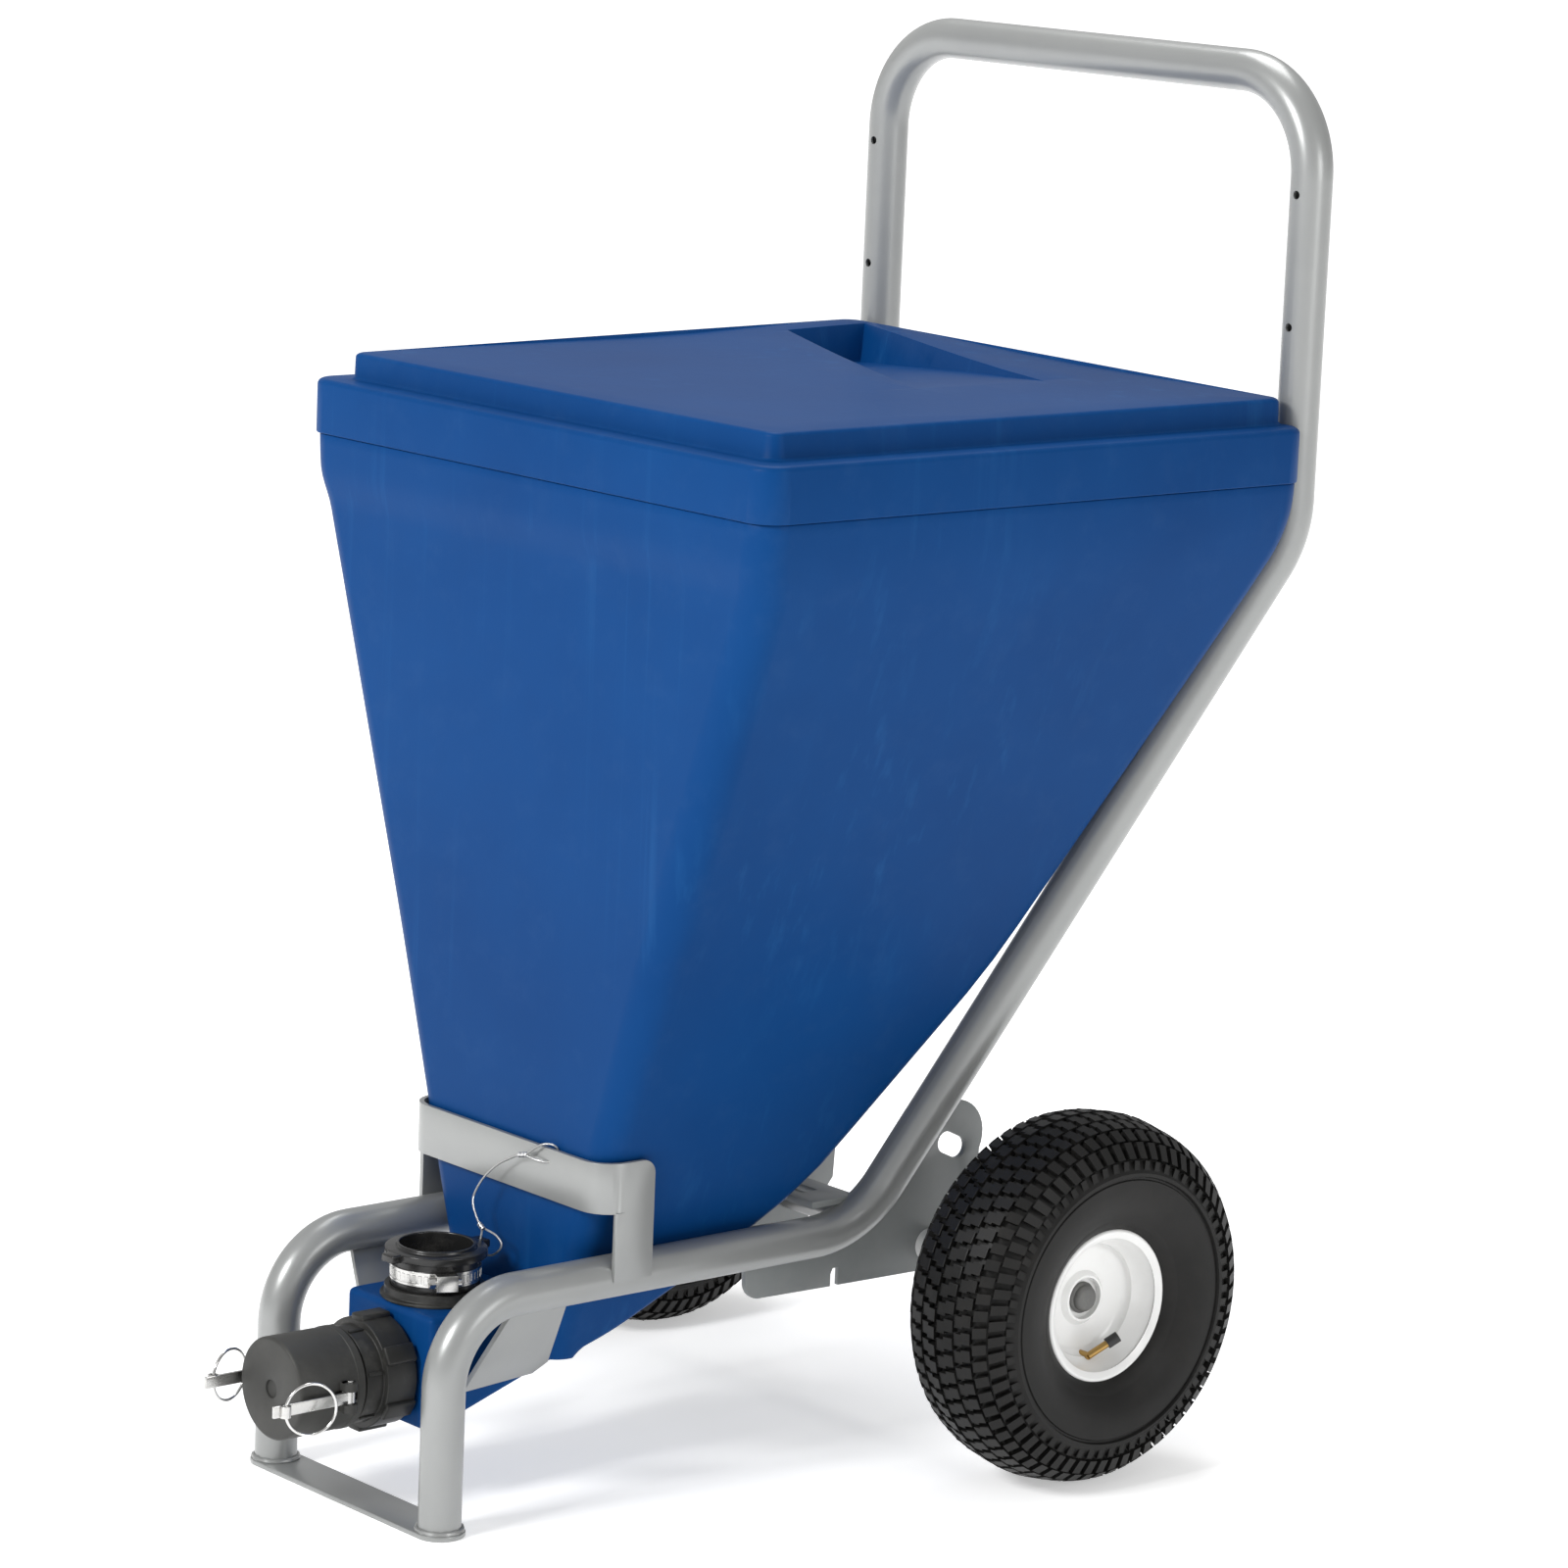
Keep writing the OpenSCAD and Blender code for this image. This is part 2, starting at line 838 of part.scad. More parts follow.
// Points along the route, rounded by a spline through the chosen points
function spline(p, q, r, s, t) =
    0.5 * (2 * q + (r - p) * t + (2 * p - 5 * q + 4 * r - s) * t ^ 2 + (3 * q - p - 3 * r + s) * t ^ 3);

function route_points(route, steps) =
    let (last = len(route) - 1)
        [
            for (i = [0 : last - 1])
                for (k = [0 : steps - 1])
                    spline(route[max(i - 1, 0)], route[i], route[i + 1],
                           route[min(i + 2, last)], k / steps),
            route[last]
        ];

// One closed tube swept along the points, its rings square to the path
module swept_tube(points, r, sides) {
    last = len(points) - 1;
    rings = [
        for (i = [0 : last])
            let (
                along = unit(points[min(i + 1, last)] - points[max(i - 1, 0)]),
                across = unit(cross(along, [0, 1, 0])),
                up = cross(across, along)
            )
                for (k = [0 : sides - 1])
                    points[i] + r * (cos(360 * k / sides) * across + sin(360 * k / sides) * up)
    ];
    walls = [
        for (i = [0 : last - 1])
            for (k = [0 : sides - 1])
                let (a = i * sides + k, b = i * sides + (k + 1) % sides)
                    [a, a + sides, b + sides, b]
    ];
    foot = [for (k = [0 : sides - 1]) k];
    head = [for (k = [sides - 1 : -1 : 0]) last * sides + k];
    polyhedron(rings, concat(walls, [foot, head]));
}

module lanyard_wire() {
    color("silver")
        swept_tube(route_points(lanyard_route, lanyard_steps), lanyard_d / 2, lanyard_sides);
}

// Crimped sleeves at the wire's two ends
module lanyard_ferrules() {
    color("silver") {
        rod(lanyard_route[0], ferrule_ends[0], ferrule_r);
        rod(lanyard_route[len(lanyard_route) - 1], ferrule_ends[1], ferrule_r);
    }
}

// Wire loops over the strap's edge and through the sleeve's ear
module lanyard_loops() {
    color("silver")
        for (route = [strap_loop_route, ear_loop_route])
            swept_tube(route_points(route, loop_steps), lanyard_d / 2, lanyard_sides);
}

// ---- wheels --------------------------------------------------------------

module axle() {
    color("gray")
        translate([-axle_end_x, axle_y, axle_z])
            rotate([0, 90, 0])
                cylinder(h = 2 * axle_end_x, d = axle_d);
}

module axle_cap(side) {
    color("slategray")
        mirrored(side)
            translate([axle_end_x, axle_y, axle_z])
                rotate([0, 90, 0])
                    cylinder(h = 8, r = 12);
}

// Tubes on the axle that hold each wheel clear of its gusset
module axle_spacers() {
    inner = rail_x - tube_r;
    color("gray")
        for (side = [-1, 1])
            mirrored(side)
                translate([inner + 0.1, axle_y, axle_z])
                    rotate([0, 90, 0])
                        difference() {
                            cylinder(h = wheel_x - hub_half - 0.5 - inner, r = axle_d / 2 + 3);
                            translate([0, 0, -1])
                                cylinder(h = 200, d = axle_d);
                        }
}

// Tyre carcass: beads inside the rim's flanges, bulged walls and round shoulders
module tyre(side) {
    color("#2c2c2c")
        mirrored(side)
            about_axle()
                rotate_extrude($fn = 96)
                    difference() {
                        tyre_outline(0);
                        tyre_outline(tyre_wall);
                    }
}

// Half-outline of the tyre or, drawn in by d, of the space for the inner tube
module tyre_outline(d) {
    half = tyre_w / 2 - d;
    bead = rim_face - 2.3 - d;
    corner = 30 - d;
    reach = tyre_od / 2 - d - corner;
    side_points = concat(
        [[bead_r + 0.3 - d, bead], [rim_r + 1.5, bead], [rim_r + 4, rim_face + 4 - d],
         [rim_r + 14, half - 3], [rim_r + 30, half]],
        [for (a = [0 : 15 : 90]) [reach + corner * sin(a), half - corner + corner * cos(a)]]
    );
    last = len(side_points) - 1;
    polygon(concat(
        side_points,
        [for (k = [0 : last]) [side_points[last - k].x, -side_points[last - k].y]]
    ));
}

module inner_tube(side) {
    mid_r = 96;
    fat_r = 28;
    color("black")
        mirrored(side)
            about_axle()
                rotate_extrude()
                    translate([mid_r, 0])
                        difference() {
                            circle(fat_r);
                            circle(fat_r - 2);
                        }
}

// Pressed rim: a flanged barrel with a dished disc welded to the hub
module rim(side) {
    t = 2;
    color("white")
        mirrored(side)
            about_axle()
                difference() {
                    union() {
                        rotate_extrude()
                            polygon([
                                [bead_r - t, -rim_face], [rim_r, -rim_face], [rim_r, -rim_face + t],
                                [bead_r, -rim_face + t], [bead_r, rim_face - t],
                                [rim_r, rim_face - t], [rim_r, rim_face], [bead_r - t, rim_face]
                            ]);
                        translate([0, 0, disc_x])
                            difference() {
                                cylinder(h = t, r = bead_r - t / 2);
                                translate([0, 0, -1])
                                    cylinder(h = t + 2, r = 13.5);
                            }
                    }
                    translate([-valve_z, 0, 0])
                        cylinder(h = 20, r = 4.6);
                }
}

module hub(side) {
    color("gray")
        mirrored(side)
            about_axle()
                translate([0, 0, -hub_half])
                    difference() {
                        cylinder(h = hub_half + disc_x, r = hub_r);
                        translate([0, 0, -1])
                            cylinder(h = 100, r = axle_d / 2 + axle_clear);
                    }
}

// Bent metal stem through the disc, and its screw cap
stem_foot = [wheel_x + disc_x - 8, axle_y, axle_z + valve_z];
stem_bend = stem_foot + [20, 0, 0];
stem_tip = stem_bend + [6, 13, 9];

module valve_stem(side) {
    stem_r = 2.8;
    color("goldenrod")
        mirrored(side) {
            rod(stem_foot, stem_bend + [1, 0, 0], stem_r);
            rod(stem_bend, stem_tip, stem_r);
        }
}

module valve_cap(side) {
    color("black")
        mirrored(side)
            rod(stem_tip, stem_tip + unit(stem_tip - stem_bend) * 10, 4.2);
}

// ---- the part ------------------------------------------------------------

hopper_tank();
outlet_box();
lid();
lower_tube(-1);  // lower_tube_left
lower_tube(1);  // lower_tube_right
diagonal_tube(-1);  // diagonal_tube_left
diagonal_tube(1);  // diagonal_tube_right
post_bend_tube(-1);  // post_bend_left
post_bend_tube(1);  // post_bend_right
handle_tube();
skid_plate();
hopper_strap();
cross_plate();
cradle_plate(-1);  // cradle_plate_left
cradle_plate(1);  // cradle_plate_right
rear_gusset(-1);  // rear_gusset_left
rear_gusset(1);  // rear_gusset_right
axle();
axle_cap(-1);  // axle_cap_left
axle_cap(1);  // axle_cap_right
axle_spacers();
tyre(-1);  // tyre_left
tyre(1);  // tyre_right
inner_tube(-1);  // inner_tube_left
inner_tube(1);  // inner_tube_right
rim(-1);  // rim_left
rim(1);  // rim_right
hub(-1);  // hub_left
hub(1);  // hub_right
valve_stem(-1);  // valve_stem_left
valve_stem(1);  // valve_stem_right
valve_cap(-1);  // valve_cap_left
valve_cap(1);  // valve_cap_right
outlet_washer();
outlet_adapter();
dust_cap();
cap_gasket();
cam_lever(-1);  // cam_lever_left
cam_lever(1);  // cam_lever_right
lever_pins();
pull_ring(-1);  // pull_ring_left
pull_ring(1);  // pull_ring_right
port_nut();
port_sleeve();
clamp_band();
clamp_housing();
clamp_screw();
lanyard_wire();
lanyard_ferrules();
lanyard_loops();
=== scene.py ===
# %% [markdown]
# # A material hopper cart
# The real thing is a push cart on two turf tyres. A bent steel tube carries a tapered plastic
# hopper with a lift-off lid, and a small outlet box under it has a capped hose port in front
# and an open one on top. The CAD frame gives every place and size, so each piece below is
# measured from it. Pieces are modelled in millimetres and turned into metres when finished.

# %% Load the frame
import math

import bmesh
import bpy
from mathutils import Matrix, Vector


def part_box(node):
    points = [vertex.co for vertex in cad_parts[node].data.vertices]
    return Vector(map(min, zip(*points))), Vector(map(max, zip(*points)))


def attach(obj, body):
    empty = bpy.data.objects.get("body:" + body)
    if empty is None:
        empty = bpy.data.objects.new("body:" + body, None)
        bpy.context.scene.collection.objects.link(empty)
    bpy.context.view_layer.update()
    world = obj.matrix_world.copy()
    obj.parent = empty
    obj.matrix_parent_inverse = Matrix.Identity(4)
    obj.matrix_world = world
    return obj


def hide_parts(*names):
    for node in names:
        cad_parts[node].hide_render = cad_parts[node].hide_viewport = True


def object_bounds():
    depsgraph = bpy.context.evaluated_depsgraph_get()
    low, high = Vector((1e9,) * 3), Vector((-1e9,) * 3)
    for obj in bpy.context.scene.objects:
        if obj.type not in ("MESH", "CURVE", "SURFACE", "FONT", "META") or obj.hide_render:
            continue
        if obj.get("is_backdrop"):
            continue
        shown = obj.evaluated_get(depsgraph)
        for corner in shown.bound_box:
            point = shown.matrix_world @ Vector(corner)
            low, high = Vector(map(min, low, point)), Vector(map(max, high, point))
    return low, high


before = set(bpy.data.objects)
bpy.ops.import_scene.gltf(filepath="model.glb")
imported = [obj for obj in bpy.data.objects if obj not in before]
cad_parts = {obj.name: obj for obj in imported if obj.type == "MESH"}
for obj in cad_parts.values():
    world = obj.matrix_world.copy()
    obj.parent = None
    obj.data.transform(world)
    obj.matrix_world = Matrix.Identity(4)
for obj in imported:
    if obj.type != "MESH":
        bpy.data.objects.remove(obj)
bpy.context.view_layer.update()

MM = 0.001


def node_box(name):
    """Lowest and highest corner of a CAD node, in millimetres."""
    low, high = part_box(name)
    return low / MM, high / MM


def node_centre(name):
    low, high = node_box(name)
    return (low + high) / 2


# %% [markdown]
# ## The camera
# A long lens from well back keeps the hopper's edges nearly parallel.
# The camera looks down a little and is turned a little about its own axis. Its place is a
# fixed point, given in metres.

# %% Camera
CAMERA_PLACE = Vector((3.1691, -2.6590, 1.3071))
CAMERA_AZIMUTH = math.radians(49.02)
CAMERA_ELEVATION = math.radians(10.93)
CAMERA_ROLL = math.radians(2.42)
CAMERA_LENS = 129.15

camera_data = bpy.data.cameras.new("camera")
camera_data.lens = CAMERA_LENS
camera_data.sensor_width = 36
camera_data.clip_end = 200
camera = bpy.data.objects.new("camera", camera_data)
camera.rotation_mode = "QUATERNION"
camera.location = CAMERA_PLACE
turned = Matrix.Rotation(CAMERA_AZIMUTH, 3, "Z")
tipped = Matrix.Rotation(math.pi / 2 - CAMERA_ELEVATION, 3, "X")
rolled = Matrix.Rotation(CAMERA_ROLL, 3, "Z")
camera.rotation_quaternion = (turned @ tipped @ rolled).to_quaternion()
bpy.context.scene.collection.objects.link(camera)
bpy.context.scene.camera = camera
print("camera at", tuple(round(v, 3) for v in camera.location))

# %% [markdown]
# ## Helpers for meshes
# Every piece starts as a bmesh in millimetres. One function turns it into an object in metres,
# gives it its material and body, and hides the CAD node that it stands for. Faces are
# smooth, and an edge stays sharp only where its two faces meet at a clear angle.

# %% Finishing a piece
SHARP_ANGLE = math.radians(34)


def add_piece(name, bm, material, body, replaces=(), sharp=SHARP_ANGLE):
    """Turns a bmesh in millimetres into a finished object in metres that rides on a body."""
    bmesh.ops.scale(bm, vec=(MM, MM, MM), verts=bm.verts)
    for face in bm.faces:
        face.smooth = True
    for edge in bm.edges:
        edge.smooth = len(edge.link_faces) < 2 or edge.calc_face_angle(math.pi) < sharp
    mesh = bpy.data.meshes.new(name)
    bm.to_mesh(mesh)
    bm.free()
    mesh.materials.append(material)
    piece = bpy.data.objects.new(name, mesh)
    bpy.context.scene.collection.objects.link(piece)
    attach(piece, body)
    if replaces:
        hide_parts(*replaces)
    print("made", name, "with", len(mesh.polygons), "faces")
    return piece


def close_up(bm, distance=0.01):
    """Merges doubles and turns every face outwards."""
    bmesh.ops.remove_doubles(bm, verts=bm.verts, dist=distance)
    bmesh.ops.recalc_face_normals(bm, faces=bm.faces)


def move(bm, x=0, y=0, z=0):
    bmesh.ops.translate(bm, vec=(x, y, z), verts=bm.verts)


def turn(bm, degrees, axis, centre=(0, 0, 0)):
    bmesh.ops.rotate(
        bm, cent=centre, matrix=Matrix.Rotation(math.radians(degrees), 3, axis), verts=bm.verts
    )


def join_in(bm, other):
    """Adds another bmesh's faces to bm and frees it."""
    mesh = bpy.data.meshes.new("part")
    other.to_mesh(mesh)
    other.free()
    bm.from_mesh(mesh)
    bpy.data.meshes.remove(mesh)


def bevel_sharp(bm, width, segments=2, angle=30):
    """Rounds every edge that is sharper than the angle."""
    limit = math.radians(angle)
    edges = [e for e in bm.edges if len(e.link_faces) == 2 and e.calc_face_angle(0) > limit]
    bmesh.ops.bevel(
        bm, geom=edges, offset=width, offset_type="OFFSET", affect="EDGES",
        segments=segments, profile=0.5, material=-1, clamp_overlap=True,
    )


# %% [markdown]
# Most round pieces are an outline spun about an axis. The outline is drawn as points of
# radius and distance along the axis, with `arc` for its round stretches, and the spin turns it
# into a closed ring or a solid.

# %% Arcs and turned shapes
def arc(centre, radius, start, end, steps=6):
    """Points on an arc, in degrees, from start to end."""
    angles = [math.radians(start + (end - start) * k / steps) for k in range(steps + 1)]
    return [(centre[0] + radius * math.cos(a), centre[1] + radius * math.sin(a)) for a in angles]


def turned_shape(outline, steps=64, closed=True):
    """Spins an outline of (radius, along) points about the X axis."""
    bm = bmesh.new()
    verts = [bm.verts.new((along, 0, radius)) for radius, along in outline]
    edges = [bm.edges.new(pair) for pair in zip(verts, verts[1:])]
    if closed:
        edges.append(bm.edges.new((verts[-1], verts[0])))
    bmesh.ops.spin(
        bm, geom=verts + edges, cent=(0, 0, 0), axis=(1, 0, 0), angle=2 * math.pi,
        steps=steps, use_merge=True,
    )
    close_up(bm, 0.001)
    return bm


def rounded_box(size, centre, width, segments=3):
    """A box with every edge rounded."""
    bm = bmesh.new()
    bmesh.ops.create_cube(bm, size=1)
    bmesh.ops.scale(bm, vec=size, verts=bm.verts)
    bmesh.ops.bevel(
        bm, geom=bm.edges[:], offset=width, offset_type="OFFSET", affect="EDGES",
        segments=segments, profile=0.5, material=-1, clamp_overlap=True,
    )
    move(bm, *centre)
    return bm


def rod(start, end, radius, sides=24):
    """A plain round bar between two points."""
    start = Vector(start)
    end = Vector(end)
    bm = bmesh.new()
    bmesh.ops.create_cone(
        bm, cap_ends=True, segments=sides, radius1=radius, radius2=radius,
        depth=(end - start).length,
    )
    aim = (end - start).to_track_quat("Z", "Y").to_matrix()
    bmesh.ops.rotate(bm, cent=(0, 0, 0), matrix=aim, verts=bm.verts)
    move(bm, *((start + end) / 2))
    return bm


# %% [markdown]
# Wires, rings and weld beads follow a path. `swept` carries a ring of vertices along the path
# and bridges each ring to the next, so the tube bends with the path and has closed ends.

# %% Tubes along a path
def spline_points(route, steps):
    """A smooth line through the route's points."""
    ends = [route[0]] + list(route) + [route[-1]]
    points = []
    for p, q, r, s in zip(ends, ends[1:], ends[2:], ends[3:]):
        p, q, r, s = Vector(p), Vector(q), Vector(r), Vector(s)
        for k in range(steps):
            t = k / steps
            points.append(
                0.5 * (2 * q + (r - p) * t + (2 * p - 5 * q + 4 * r - s) * t**2
                       + (3 * q - p - 3 * r + s) * t**3)
            )
    return points + [Vector(route[-1])]


def swept(points, radius, sides=12, loop=False):
    """A tube along the points. radius is a number, or a function of the point's number."""
    points = [Vector(p) for p in points]
    count = len(points)
    bm = bmesh.new()
    rings = []
    up = Vector((0, 0, 1))
    for i, point in enumerate(points):
        before = points[(i - 1) % count] if loop else points[max(i - 1, 0)]
        after = points[(i + 1) % count] if loop else points[min(i + 1, count - 1)]
        along = (after - before).normalized()
        if i == 0 and abs(along.z) > 0.9:
            up = Vector((0, 1, 0))
        side = up.cross(along).normalized()
        up = along.cross(side)
        size = radius(i) if callable(radius) else radius
        ring = bmesh.ops.create_circle(bm, segments=sides, radius=size)["verts"]
        place = Matrix((side, up, along)).transposed().to_4x4()
        place.translation = point
        bmesh.ops.transform(bm, matrix=place, verts=ring)
        rings.append(ring)
    pairs = list(zip(rings, rings[1:])) + ([(rings[-1], rings[0])] if loop else [])
    for one, two in pairs:
        edges = {e for ring in (one, two) for v in ring for e in v.link_edges
                 if all(w in ring for w in e.verts)}
        bmesh.ops.bridge_loops(bm, edges=list(edges))
    if not loop:
        bmesh.ops.contextual_create(bm, geom=rings[0])
        bmesh.ops.contextual_create(bm, geom=rings[-1])
    bmesh.ops.recalc_face_normals(bm, faces=bm.faces)
    return bm


# %% [markdown]
# ## Shader building blocks
# Every finish here is a Principled shader fed by procedural patterns. `node` adds one shader
# node with its settings and inputs in a single call, so a material reads as a list of steps.
# All patterns use Object coordinates, which are metres in the frame, so a scale of 200 means
# a grain of about 5 mm.

# %% Nodes in one call
def node(tree, kind, inputs=None, **settings):
    """Adds a shader node. An input given as a socket is linked, and any other is a value."""
    made = tree.nodes.new("ShaderNode" + kind)
    for name, value in settings.items():
        setattr(made, name, value)
    for name, value in (inputs or {}).items():
        if isinstance(value, bpy.types.NodeSocket):
            tree.links.new(value, made.inputs[name])
        else:
            made.inputs[name].default_value = value
    return made


def ramp(tree, factor, low, high, low_value=0.0, high_value=1.0):
    """Spreads factor's range low to high over low_value to high_value."""
    spread = node(tree, "MapRange", {"Value": factor, "From Min": low, "From Max": high,
                                     "To Min": low_value, "To Max": high_value})
    return spread.outputs["Result"]


def new_group(name, inputs, outputs):
    """An empty shader group with named float, colour or vector sockets."""
    group = bpy.data.node_groups.new(name, "ShaderNodeTree")
    for label, kind, value in inputs:
        socket = group.interface.new_socket(label, in_out="INPUT", socket_type="NodeSocket" + kind)
        if value is not None:
            socket.default_value = value
    for label, kind in outputs:
        group.interface.new_socket(label, in_out="OUTPUT", socket_type="NodeSocket" + kind)
    start = group.nodes.new("NodeGroupInput")
    end = group.nodes.new("NodeGroupOutput")
    return group, start.outputs, end.inputs


def use_group(tree, group, inputs):
    made = tree.nodes.new("ShaderNodeGroup")
    made.node_tree = group
    for name, value in inputs.items():
        if isinstance(value, bpy.types.NodeSocket):
            tree.links.new(value, made.inputs[name])
        else:
            made.inputs[name].default_value = value
    return made.outputs


# %% [markdown]
# ## Shared effects
# Three effects turn up on many pieces, so each is a group. `fine_grain` is the orange peel of
# a moulding or a coat of paint. `colour_drift` lets a colour wander between two tones in soft
# patches. `handling_dust` lays a pale film over a colour in thin, broken patches.

# %% Effect: fine grain
grain, grain_in, grain_out = new_group(
    "fine_grain",
    [("Vector", "Vector", None), ("Scale", "Float", 400.0), ("Roughness", "Float", 0.5)],
    [("Height", "Float"), ("Mask", "Float")],
)
fine = node(grain, "TexNoise", {"Vector": grain_in["Vector"], "Scale": grain_in["Scale"],
                                "Detail": 3.0, "Roughness": grain_in["Roughness"]})
coarse_scale = node(grain, "Math", {0: grain_in["Scale"], 1: 0.12}, operation="MULTIPLY")
coarse = node(grain, "TexNoise", {"Vector": grain_in["Vector"],
                                  "Scale": coarse_scale.outputs[0], "Detail": 2.0})
both = node(grain, "Math", {0: fine.outputs["Fac"], 1: coarse.outputs["Fac"]}, operation="ADD")
grain.links.new(both.outputs[0], grain_out["Height"])
grain.links.new(ramp(grain, coarse.outputs["Fac"], 0.35, 0.65), grain_out["Mask"])

# %% Effect: colour drift
drift, drift_in, drift_out = new_group(
    "colour_drift",
    [("Vector", "Vector", None), ("Tone A", "Color", (0.5, 0.5, 0.5, 1)),
     ("Tone B", "Color", (0.6, 0.6, 0.6, 1)), ("Scale", "Float", 6.0)],
    [("Color", "Color"), ("Mask", "Float")],
)
patches = node(drift, "TexNoise", {"Vector": drift_in["Vector"], "Scale": drift_in["Scale"],
                                   "Detail": 4.0, "Roughness": 0.6})
patch_mask = ramp(drift, patches.outputs["Fac"], 0.3, 0.7)
drifted = node(drift, "Mix", {"Factor": patch_mask, 6: drift_in["Tone A"], 7: drift_in["Tone B"]},
               data_type="RGBA")
drift.links.new(drifted.outputs[2], drift_out["Color"])
drift.links.new(patch_mask, drift_out["Mask"])

# %% Effect: handling dust
dust, dust_in, dust_out = new_group(
    "handling_dust",
    [("Vector", "Vector", None), ("Color", "Color", (0.5, 0.5, 0.5, 1)),
     ("Dust", "Color", (0.4, 0.38, 0.34, 1)), ("Amount", "Float", 0.1),
     ("Scale", "Float", 30.0), ("Roughness", "Float", 0.4)],
    [("Color", "Color"), ("Roughness", "Float")],
)
specks = node(dust, "TexNoise", {"Vector": dust_in["Vector"], "Scale": dust_in["Scale"],
                                 "Detail": 6.0, "Roughness": 0.7})
speck_mask = ramp(dust, specks.outputs["Fac"], 0.52, 0.72)
amount = node(dust, "Math", {0: speck_mask, 1: dust_in["Amount"]}, operation="MULTIPLY")
dusty = node(dust, "Mix", {"Factor": amount.outputs[0], 6: dust_in["Color"], 7: dust_in["Dust"]},
             data_type="RGBA")
rougher = node(dust, "Math", {0: amount.outputs[0], 1: 0.5, 2: dust_in["Roughness"]},
               operation="MULTIPLY_ADD")
dust.links.new(dusty.outputs[2], dust_out["Color"])
dust.links.new(rougher.outputs[0], dust_out["Roughness"])
print("effects:", grain.name, drift.name, dust.name)

# %% [markdown]
# `finish` is the recipe that most materials share: a drifting colour, a little dust, grain
# that feeds a Bump node, and the shader's own constants set straight on its sockets.

# %% The shared recipe
def rgba(colour):
    return (*colour, 1.0)


def finish(name, tone_a, tone_b, roughness, grain_scale, grain_depth, dust_amount=0.1,
           dust_colour=(0.45, 0.43, 0.39), drift_scale=6.0, metallic=0.0, coat=0.0,
           specular=0.5, stretch=(1, 1, 1)):
    """A material made of drifting colour, dust and grain. Returns it and its main nodes."""
    material = bpy.data.materials.new(name)
    material.use_nodes = True
    tree = material.node_tree
    shader = tree.nodes["Principled BSDF"]
    place = node(tree, "TexCoord").outputs["Object"]
    place = node(tree, "Mapping", {"Vector": place, "Scale": stretch}).outputs["Vector"]
    colour = use_group(tree, drift, {"Vector": place, "Tone A": rgba(tone_a),
                                     "Tone B": rgba(tone_b), "Scale": drift_scale})
    film = use_group(tree, dust, {"Vector": place, "Color": colour["Color"],
                                  "Dust": rgba(dust_colour), "Amount": dust_amount,
                                  "Roughness": roughness})
    peel = use_group(tree, grain, {"Vector": place, "Scale": grain_scale})
    bump = node(tree, "Bump", {"Height": peel["Height"], "Strength": 0.6,
                               "Distance": grain_depth})
    tree.links.new(film["Color"], shader.inputs["Base Color"])
    tree.links.new(film["Roughness"], shader.inputs["Roughness"])
    tree.links.new(bump.outputs["Normal"], shader.inputs["Normal"])
    shader.inputs["Metallic"].default_value = metallic
    shader.inputs["Coat Weight"].default_value = coat
    shader.inputs["Coat Roughness"].default_value = 0.25
    shader.inputs["Specular IOR Level"].default_value = specular
    return material


# %% [markdown]
# ## Finishes
# The frame is sprayed silver-grey. The cut plates get a darker copy of that paint, which is
# painted shade for the shadow they sit in under the hopper and on the rails' inner sides. The
# rims are white enamel, and the small metal parts are stainless steel, brass or zinc. Blacks
# are kept a little above pure black, because rubber and glass-filled plastic both scatter some light.

# %% Paint, metal and rubber
frame_paint = finish("frame_paint", (0.285, 0.292, 0.288), (0.315, 0.322, 0.317), 0.34,
                     900, 0.00003, dust_amount=0.05, metallic=0.35, coat=0.5, drift_scale=9)
# A darker copy of frame_paint: painted shade for the cut plates that sit in shadow.
gusset_paint = finish("gusset_paint", (0.20, 0.215, 0.215), (0.235, 0.245, 0.243), 0.42,
                      900, 0.00003, dust_amount=0.06, coat=0.15, drift_scale=14)
rim_enamel = finish("rim_enamel", (0.80, 0.80, 0.785), (0.86, 0.86, 0.85), 0.22,
                    500, 0.00003, dust_amount=0.10, dust_colour=(0.5, 0.48, 0.44), coat=0.6)
tyre_rubber = finish("tyre_rubber", (0.0085, 0.0085, 0.008), (0.0135, 0.013, 0.0125), 0.46,
                     1400, 0.00006, dust_amount=0.12, dust_colour=(0.05, 0.043, 0.036),
                     drift_scale=22, specular=0.2)
tube_rubber = finish("tube_rubber", (0.015, 0.015, 0.015), (0.022, 0.022, 0.022), 0.6,
                     900, 0.00004)
fitting_plastic = finish("fitting_plastic", (0.018, 0.018, 0.017), (0.028, 0.028, 0.026), 0.40,
                         1500, 0.00005, dust_amount=0.08, drift_scale=30, specular=0.3)
cap_plastic = finish("cap_plastic", (0.034, 0.034, 0.032), (0.046, 0.046, 0.043), 0.47,
                     1300, 0.00007, dust_amount=0.16, dust_colour=(0.13, 0.125, 0.115),
                     drift_scale=26, specular=0.25)
sleeve_rubber = finish("sleeve_rubber", (0.010, 0.010, 0.010), (0.016, 0.016, 0.016), 0.26,
                       700, 0.00005, dust_amount=0.06)
seal_rubber = finish("seal_rubber", (0.014, 0.014, 0.014), (0.02, 0.02, 0.02), 0.55,
                     900, 0.00004)
stainless = finish("stainless", (0.56, 0.555, 0.54), (0.64, 0.635, 0.62), 0.24,
                   1600, 0.00002, dust_amount=0.12, dust_colour=(0.3, 0.28, 0.25),
                   metallic=1.0, stretch=(1, 1, 14))
bright_steel = finish("bright_steel", (0.66, 0.655, 0.64), (0.74, 0.735, 0.72), 0.16,
                      1800, 0.00001, dust_amount=0.08, dust_colour=(0.35, 0.33, 0.3),
                      metallic=1.0)
axle_steel = finish("axle_steel", (0.30, 0.30, 0.30), (0.38, 0.38, 0.38), 0.38,
                    1200, 0.00002, metallic=1.0)
